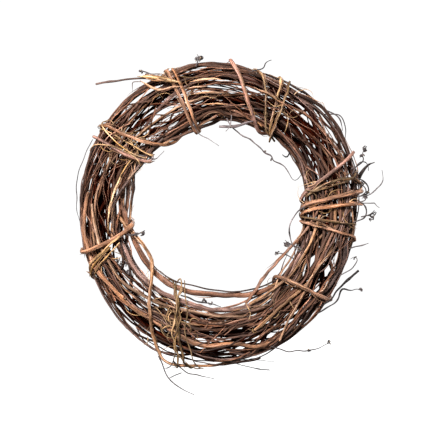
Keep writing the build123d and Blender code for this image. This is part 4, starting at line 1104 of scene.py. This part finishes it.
LOOPS = [  # radius, and points as for the knots: where tendrils bend back on themselves
    (0.55, [(146, 38, -12), (152, 37, -12), (157, 32, -12), (158.5, 25, -12), (155, 20.5, -12),
        (147, 19, -11)]),
    (0.5, [(146, 31, -12), (151, 32, -12), (155, 28, -12), (156, 22, -12), (149, 20, -11)]),
    (0.5, [(147, 13, -11), (153, 14, -12), (156, 17, -12), (154, 20, -12), (151, 17, -12)]),
    (0.45, [(157, -1, -12), (162, 1, -12), (166, 5, -12), (165, 0, -12), (160, -4, -12)]),
    (0.4, [(-37, -165, -7), (-46, -168.5, -6.5), (-50.5, -171, -6.5)]),
    (0.4, [(-45, -150, -9), (-47, -156, -8), (-52, -161, -7), (-55.5, -160, -7)]),
]
BENT_STEMS = [  # radius, and points as for the knots: short dead shoots that turn sharply
    (0.5, [(-78, 139, -14), (-87, 138.5, -14), (-88.5, 137.5, -14), (-88.3, 128, -12)]),
    (0.45, [(58, 132, -19), (62, 124, -20), (61, 115, -20), (66, 108, -20)]),
]
SPLINTERS = [  # half width, and points as for the knots: pale strips of bare wood
    (1.3, [(-80, 140, -17), (-74, 136, -19), (-67, 131.5, -20), (-58, 130, -21), (-48, 131, -22)]),
    (1.1, [(-64, 128.5, -21), (-56, 130, -22), (-46, 133, -23), (-36, 133.5, -23)]),
    (1.1, [(-28, 138, -22), (-16, 141, -22.5), (-2, 141.5, -22.5), (8, 140, -22)]),
    (1.2, [(-28, 124.5, -23), (-14, 127, -23.5), (0, 127.5, -23.5), (14, 126, -23)]),
    (0.9, [(-33, 131, -23), (-21, 133, -23), (-9, 133.5, -23.5)]),
    (0.9, [(-14, 114.5, -22), (0, 116, -22.5), (12, 114.5, -22)]),
    (1.0, [(71, 113, -20), (61, 121, -21), (49, 128, -21), (38, 133, -21)]),
]
STRAY = {"wobble": 0.45, "taper": 0.3, "knuckle_gap": 0.3, "swell": 1.2, "ridges": 0.6, "tip": 0.5,
         "sides": 6}
STUB = {"wobble": 0.0, "taper": 0.1, "knuckle_gap": 9.0, "swell": 0.0, "ridges": 1.0, "tip": 0.0,
        "sides": 7}


def add_shred(parts, rng, vine):
    """A strip of bark that has come away from a vine at one end, or in the middle. False for a bad place."""
    radius, line, at, _, across, over, reach, _ = vine
    length = rng.uniform(*SHRED_LENGTH)
    if at[-1] < length + SHRED_MARGIN:
        return False
    first = rng.randrange(3, len(at) - int(length / RING_STEP) - 4)
    part = slice(first, first + max(5, int(length / RING_STEP)) + 1)
    side = rng.randrange(reach.shape[1])
    twist = rng.uniform(-0.5, 0.5) * np.linspace(0, 1, part.stop - part.start)
    turn = 2 * math.pi * side / reach.shape[1] + twist
    cosine, sine = np.cos(turn)[:, None], np.sin(turn)[:, None]
    out = across[part] * cosine + over[part] * sine
    sideways = over[part] * cosine - across[part] * sine
    middle = line[part] + out * radius
    if openness(middle[:1], out[:1])[0] < SHRED_OPEN:
        return False
    share = np.linspace(0, 1, len(out))
    if rng.random() < 0.5:
        share = share[::-1]
    lift = share ** 2 if rng.random() < 0.75 else np.sin(math.pi * share)
    lift = lift * rng.uniform(*SHRED_LIFT)
    path = line[part] + out * (reach[part, side] + 0.1 + lift)[:, None]
    path = path + sideways * (share ** 2 * rng.uniform(-2.5, 2.5))[:, None]
    wide = rng.uniform(*SHRED_WIDTH) * np.clip(1.1 - share ** 3, 0.15, 1)
    wide = wide * np.clip(2.5 * (1 - share) + 0.3, 0, 1)
    roll = share * rng.uniform(-1.2, 1.2)
    flat = sideways * np.cos(roll)[:, None] + out * np.sin(roll)[:, None]
    thick = out * np.cos(roll)[:, None] - sideways * np.sin(roll)[:, None]
    half_wide, half_thick = wide[:, None] / 2 * flat, SHRED_THICK / 2 * thick
    rings = np.stack([path - half_wide - half_thick, path + half_wide - half_thick,
                      path + half_wide + half_thick, path - half_wide + half_thick], axis=1)
    count = len(path)
    here = np.arange(count - 1)[:, None] * 4
    one, two = np.arange(4), (np.arange(4) + 1) % 4
    quads = np.stack([here + one, here + two, here + 4 + two, here + 4 + one], axis=-1).reshape(-1, 4)
    if np.linalg.det(np.stack([flat[0], thick[0], path[1] - path[0]])) < 0:
        quads = quads[:, ::-1]
    last = 4 * (count - 1)
    fans = np.array([[0, 3, 2], [0, 2, 1], [last, last + 1, last + 2], [last, last + 2, last + 3]])
    if quads[0, 0] != 0:
        fans = fans[:, ::-1]
    grain = np.zeros((count, 4, 3))
    grain[..., 0] = np.array([-0.5, 0.5, 0.5, -0.5]) * wide[:, None]
    grain[..., 1] = [-0.1, -0.1, 0.1, 0.1]
    grain[..., 2] = (np.arange(count) * RING_STEP)[:, None]
    offset = np.array([rng.uniform(0, 900), rng.uniform(0, 900), 0])
    tone = np.array([rng.uniform(0.3, 1.0), rng.uniform(0.5, 1.0), rng.random()])
    parts.add(rings.reshape(-1, 3), grain.reshape(-1, 3) + offset, np.zeros(4 * count),
              np.repeat(openness(middle, out), 4), tone, quads, fans)
    return True


def surface_point(angle, reach, side, stand):
    """A point on the bundle's outline in front (side -1) or behind (side 1), standing off it a little."""
    inner, outer, deep = outline(angle)
    share = np.clip((reach - (inner + outer) / 2) / ((outer - inner) / 2), -0.98, 0.98)
    depth = side * (deep * np.sqrt(1 - share * share) * 0.92 + stand)
    return ring_point(np.atleast_1d(angle), reach, depth)[0]


def add_curl(parts, rng, angle, reach, span, side, radius):
    """A fine stem that bends across the bundle's surface."""
    heading, turn = rng.uniform(0, 2 * math.pi), rng.choice([-1, 1]) * rng.uniform(0.05, 0.7)
    step = span / 5
    sway = rng.randrange(2, 9)  # where the bend changes sides, if it does
    points = []
    for k in range(7):
        stand = 0.8 + 1.4 * rng.random() if 0 < k < 6 else -1.5
        points.append(surface_point(angle, reach, side, stand))
        angle += math.degrees(step * math.cos(heading) / reach)
        reach += step * math.sin(heading)
        heading += turn * rng.uniform(0.3, 1.6)
        if k == sway:
            turn = -turn
    if not 84 < reach < 160:
        return
    add_tube(parts, np.array(points), radius, rng, STRAY)


def add_stray(parts, rng, side, angle):
    """A long fine stem caught among the vines, nearly along the ring but not quite."""
    inner, outer, _ = outline(angle)
    reach = rng.uniform(inner + 3, outer - 3)
    slope = rng.gauss(0, 0.5)
    ways = rng.choice([-1, 1])
    points = []
    for k in range(rng.randrange(4, 9)):
        points.append(surface_point(angle, reach, side, rng.uniform(-1.5, 1.6)))
        angle += ways * rng.uniform(3.0, 6.5)
        reach += slope * 8 + rng.gauss(0, 1.5)
        slope *= 0.9
        inner, outer, _ = outline(angle)
        if not inner - 1 < reach < outer + 1:
            break
    if len(points) > 3:
        add_tube(parts, np.array(points), rng.uniform(0.28, 0.6), rng, STRAY)


def add_knot(parts, rng, centre, size):
    """A tendril's end wound into a small dark tangle."""
    middle = np.array([centre[0], centre[2], centre[1]])
    for _ in range(4):
        points = [middle + size * 0.4 * np.array([rng.gauss(0, 1), rng.gauss(0, 0.6), rng.gauss(0, 1)])]
        for _ in range(rng.randrange(3, 6)):
            way = np.array([rng.gauss(0, 1), rng.gauss(0, 0.6), rng.gauss(0, 1)])
            pulled = points[-1] + way * size * 0.75
            keep = min(1.0, size * 1.25 / np.linalg.norm(pulled - middle))
            points.append(middle + (pulled - middle) * keep)
        add_tube(parts, np.array(points), rng.uniform(0.4, 0.75), rng, {**TENDRIL, "wobble": 0.2, "sides": 6})


def add_stub(parts, rng, vine, spot, facing):
    """The stump of a side shoot at a knuckle."""
    radius, line, at, ahead, across, over, _, _ = vine
    here = min(len(at) - 2, int(spot / RING_STEP))
    out = across[here] * math.cos(facing) + over[here] * math.sin(facing)
    if openness(line[here:here + 1], out[None])[0] < STUB_OPEN:
        return
    lean = rng.choice([-1, 1]) * ahead[here] * rng.uniform(0.3, 1.1)
    length = rng.uniform(1.6, 5.0)
    start = line[here] + out * radius * 0.4
    aim = (out + lean) / np.linalg.norm(out + lean)
    bend = across[here] * rng.uniform(-0.4, 0.4)
    points = [start, start + aim * (radius * 0.6 + length / 2), start + aim * (radius * 0.6 + length) + bend]
    add_tube(parts, np.array(points), min(1.1, radius * rng.uniform(0.35, 0.6)), rng, STUB)


def extra_piece(name, slot, seed, fill):
    """A piece made only for the look, filled by a function of the mesh parts and a random source."""
    parts = MeshParts()
    fill(parts, random.Random(SEED * 1000 + seed))
    make_piece(name, parts, slot)


def fill_shreds(parts, rng):
    wide = [vine for vine in laid if vine[0] >= 0.9]
    made = 0
    while made < SHRED_COUNT:
        made += add_shred(parts, rng, rng.choice(wide))


def fill_stubs(parts, rng):
    for vine in laid:
        for spot, facing in vine[-1]:
            if vine[0] > 0.8 and rng.random() < STUB_SHARE:
                add_stub(parts, rng, vine, spot, facing)


def fill_curls(parts, rng):
    for angles, reaches, count, spans in CURL_PLACES:
        for _ in range(count):
            add_curl(parts, rng, rng.uniform(*angles), rng.uniform(*reaches), rng.uniform(*spans),
                     -1, rng.uniform(0.25, 0.5))


def fill_strays(parts, rng):
    for number in range(STRAY_COUNT):
        add_stray(parts, rng, 1 if number % 4 == 0 else -1, rng.uniform(0, 360))
    for _ in range(WIDE_GAP_STRAYS):
        add_stray(parts, rng, -1, rng.uniform(*WIDE_GAP))
    for radius, points in BENT_STEMS:
        add_tube(parts, hand_placed(points), radius, rng, {**STRAY, "tone": (0.0, 0.3)})


def fill_splinters(parts, rng):
    for radius, points in SPLINTERS:
        add_tube(parts, hand_placed(points), radius, rng, SPLINTER)


def fill_knots(parts, rng):
    for x, z, depth, size in KNOTS:
        add_knot(parts, rng, (x, z, depth), size)
    for radius, points in LOOPS:
        add_tube(parts, hand_placed(points), radius, rng, {**TENDRIL, "tip": 0.2, "sides": 7})


for name, slot, seed, fill in (
        ("bark_shreds", "vine_tan", 101, fill_shreds),
        ("side_shoot_stumps", "vine_brown", 102, fill_stubs),
        ("fine_curls", "fine_stem", 103, fill_curls),
        ("stray_stems", "vine_brown", 104, fill_strays),
        ("bare_splinters", "vine_tan", 106, fill_splinters),
        ("tendril_knots", "tendril", 105, fill_knots)):
    extra_piece(name, slot, seed, fill)


# ---- Stage, light and camera
VIEW_WIDTH = 0.4515  # metres that the view takes in, level with the wreath
CAMERA_DISTANCE = 1.8
CAMERA_RIGHT = -0.0021
SENSOR = 36.0
FLOOR_DROP = 0.001  # the floor is this far under the lowest tendril
FLOOR_HALF = 0.9
# Each light: name, place from the ring's centre, size, power
LIGHTS = [
    ("key", (-0.45, -1.35, 0.8), 0.45, 62),
    ("fill_left", (-1.3, -0.9, 0.1), 0.9, 7.5),
    ("fill_behind", (0.5, 1.4, 0.7), 0.9, 36),
    ("fill_behind_right", (1.5, 0.5, 0.1), 0.9, 22),
]

floor_z = CAD_BOX[0][2] - FLOOR_DROP
mesh = bpy.data.meshes.new("floor")
corners = [(x * FLOOR_HALF, y * FLOOR_HALF, floor_z) for x, y in ((-1, -1), (1, -1), (1, 1), (-1, 1))]
mesh.from_pydata(corners, [], [(0, 1, 2, 3)])
floor = bpy.data.objects.new("floor", mesh)
bpy.context.scene.collection.objects.link(floor)
floor.visible_diffuse = False
floor.visible_glossy = False
paint, _, shader = new_material("white_floor")
shader.inputs["Base Color"].default_value = (0.1, 0.1, 0.1, 1)
shader.inputs["Roughness"].default_value = 0.9
shader.inputs["Emission Color"].default_value = (1, 1, 1, 1)
shader.inputs["Emission Strength"].default_value = 1.0
mesh.materials.append(paint)

world = bpy.data.worlds.new("white")
world.use_nodes = True
bpy.context.scene.world = world
tree = world.node_tree
tree.nodes.clear()
seen = node(tree, "ShaderNodeLightPath").outputs["Is Camera Ray"]
strength = between(tree, seen, 0.17, 1.05)
glow = node(tree, "ShaderNodeBackground", {"Color": (1, 1, 1, 1), "Strength": strength})
node(tree, "ShaderNodeOutputWorld", {"Surface": glow.outputs[0]})


def area_light(name, place, aim, size, power):
    """A square white light turned to what it lights."""
    lamp = bpy.data.lights.new(name, "AREA")
    lamp.size = size
    lamp.energy = power
    light = bpy.data.objects.new(name, lamp)
    light.location = place
    light.rotation_euler = (Vector(aim) - Vector(place)).to_track_quat("-Z", "Y").to_euler()
    bpy.context.scene.collection.objects.link(light)


centre = Vector(RING_CENTRE)
for name, offset, size, power in LIGHTS:
    area_light(name, centre + Vector(offset), centre, size, power)

camera = bpy.data.cameras.new("camera")
camera.sensor_width = SENSOR
camera.lens = SENSOR * CAMERA_DISTANCE / VIEW_WIDTH
eye = bpy.data.objects.new("camera", camera)
eye.location = centre + Vector((CAMERA_RIGHT, -CAMERA_DISTANCE, 0))
eye.rotation_euler = (math.pi / 2, 0, 0)
bpy.context.scene.collection.objects.link(eye)
bpy.context.scene.camera = eye
bpy.context.scene.view_settings.view_transform = "Standard"
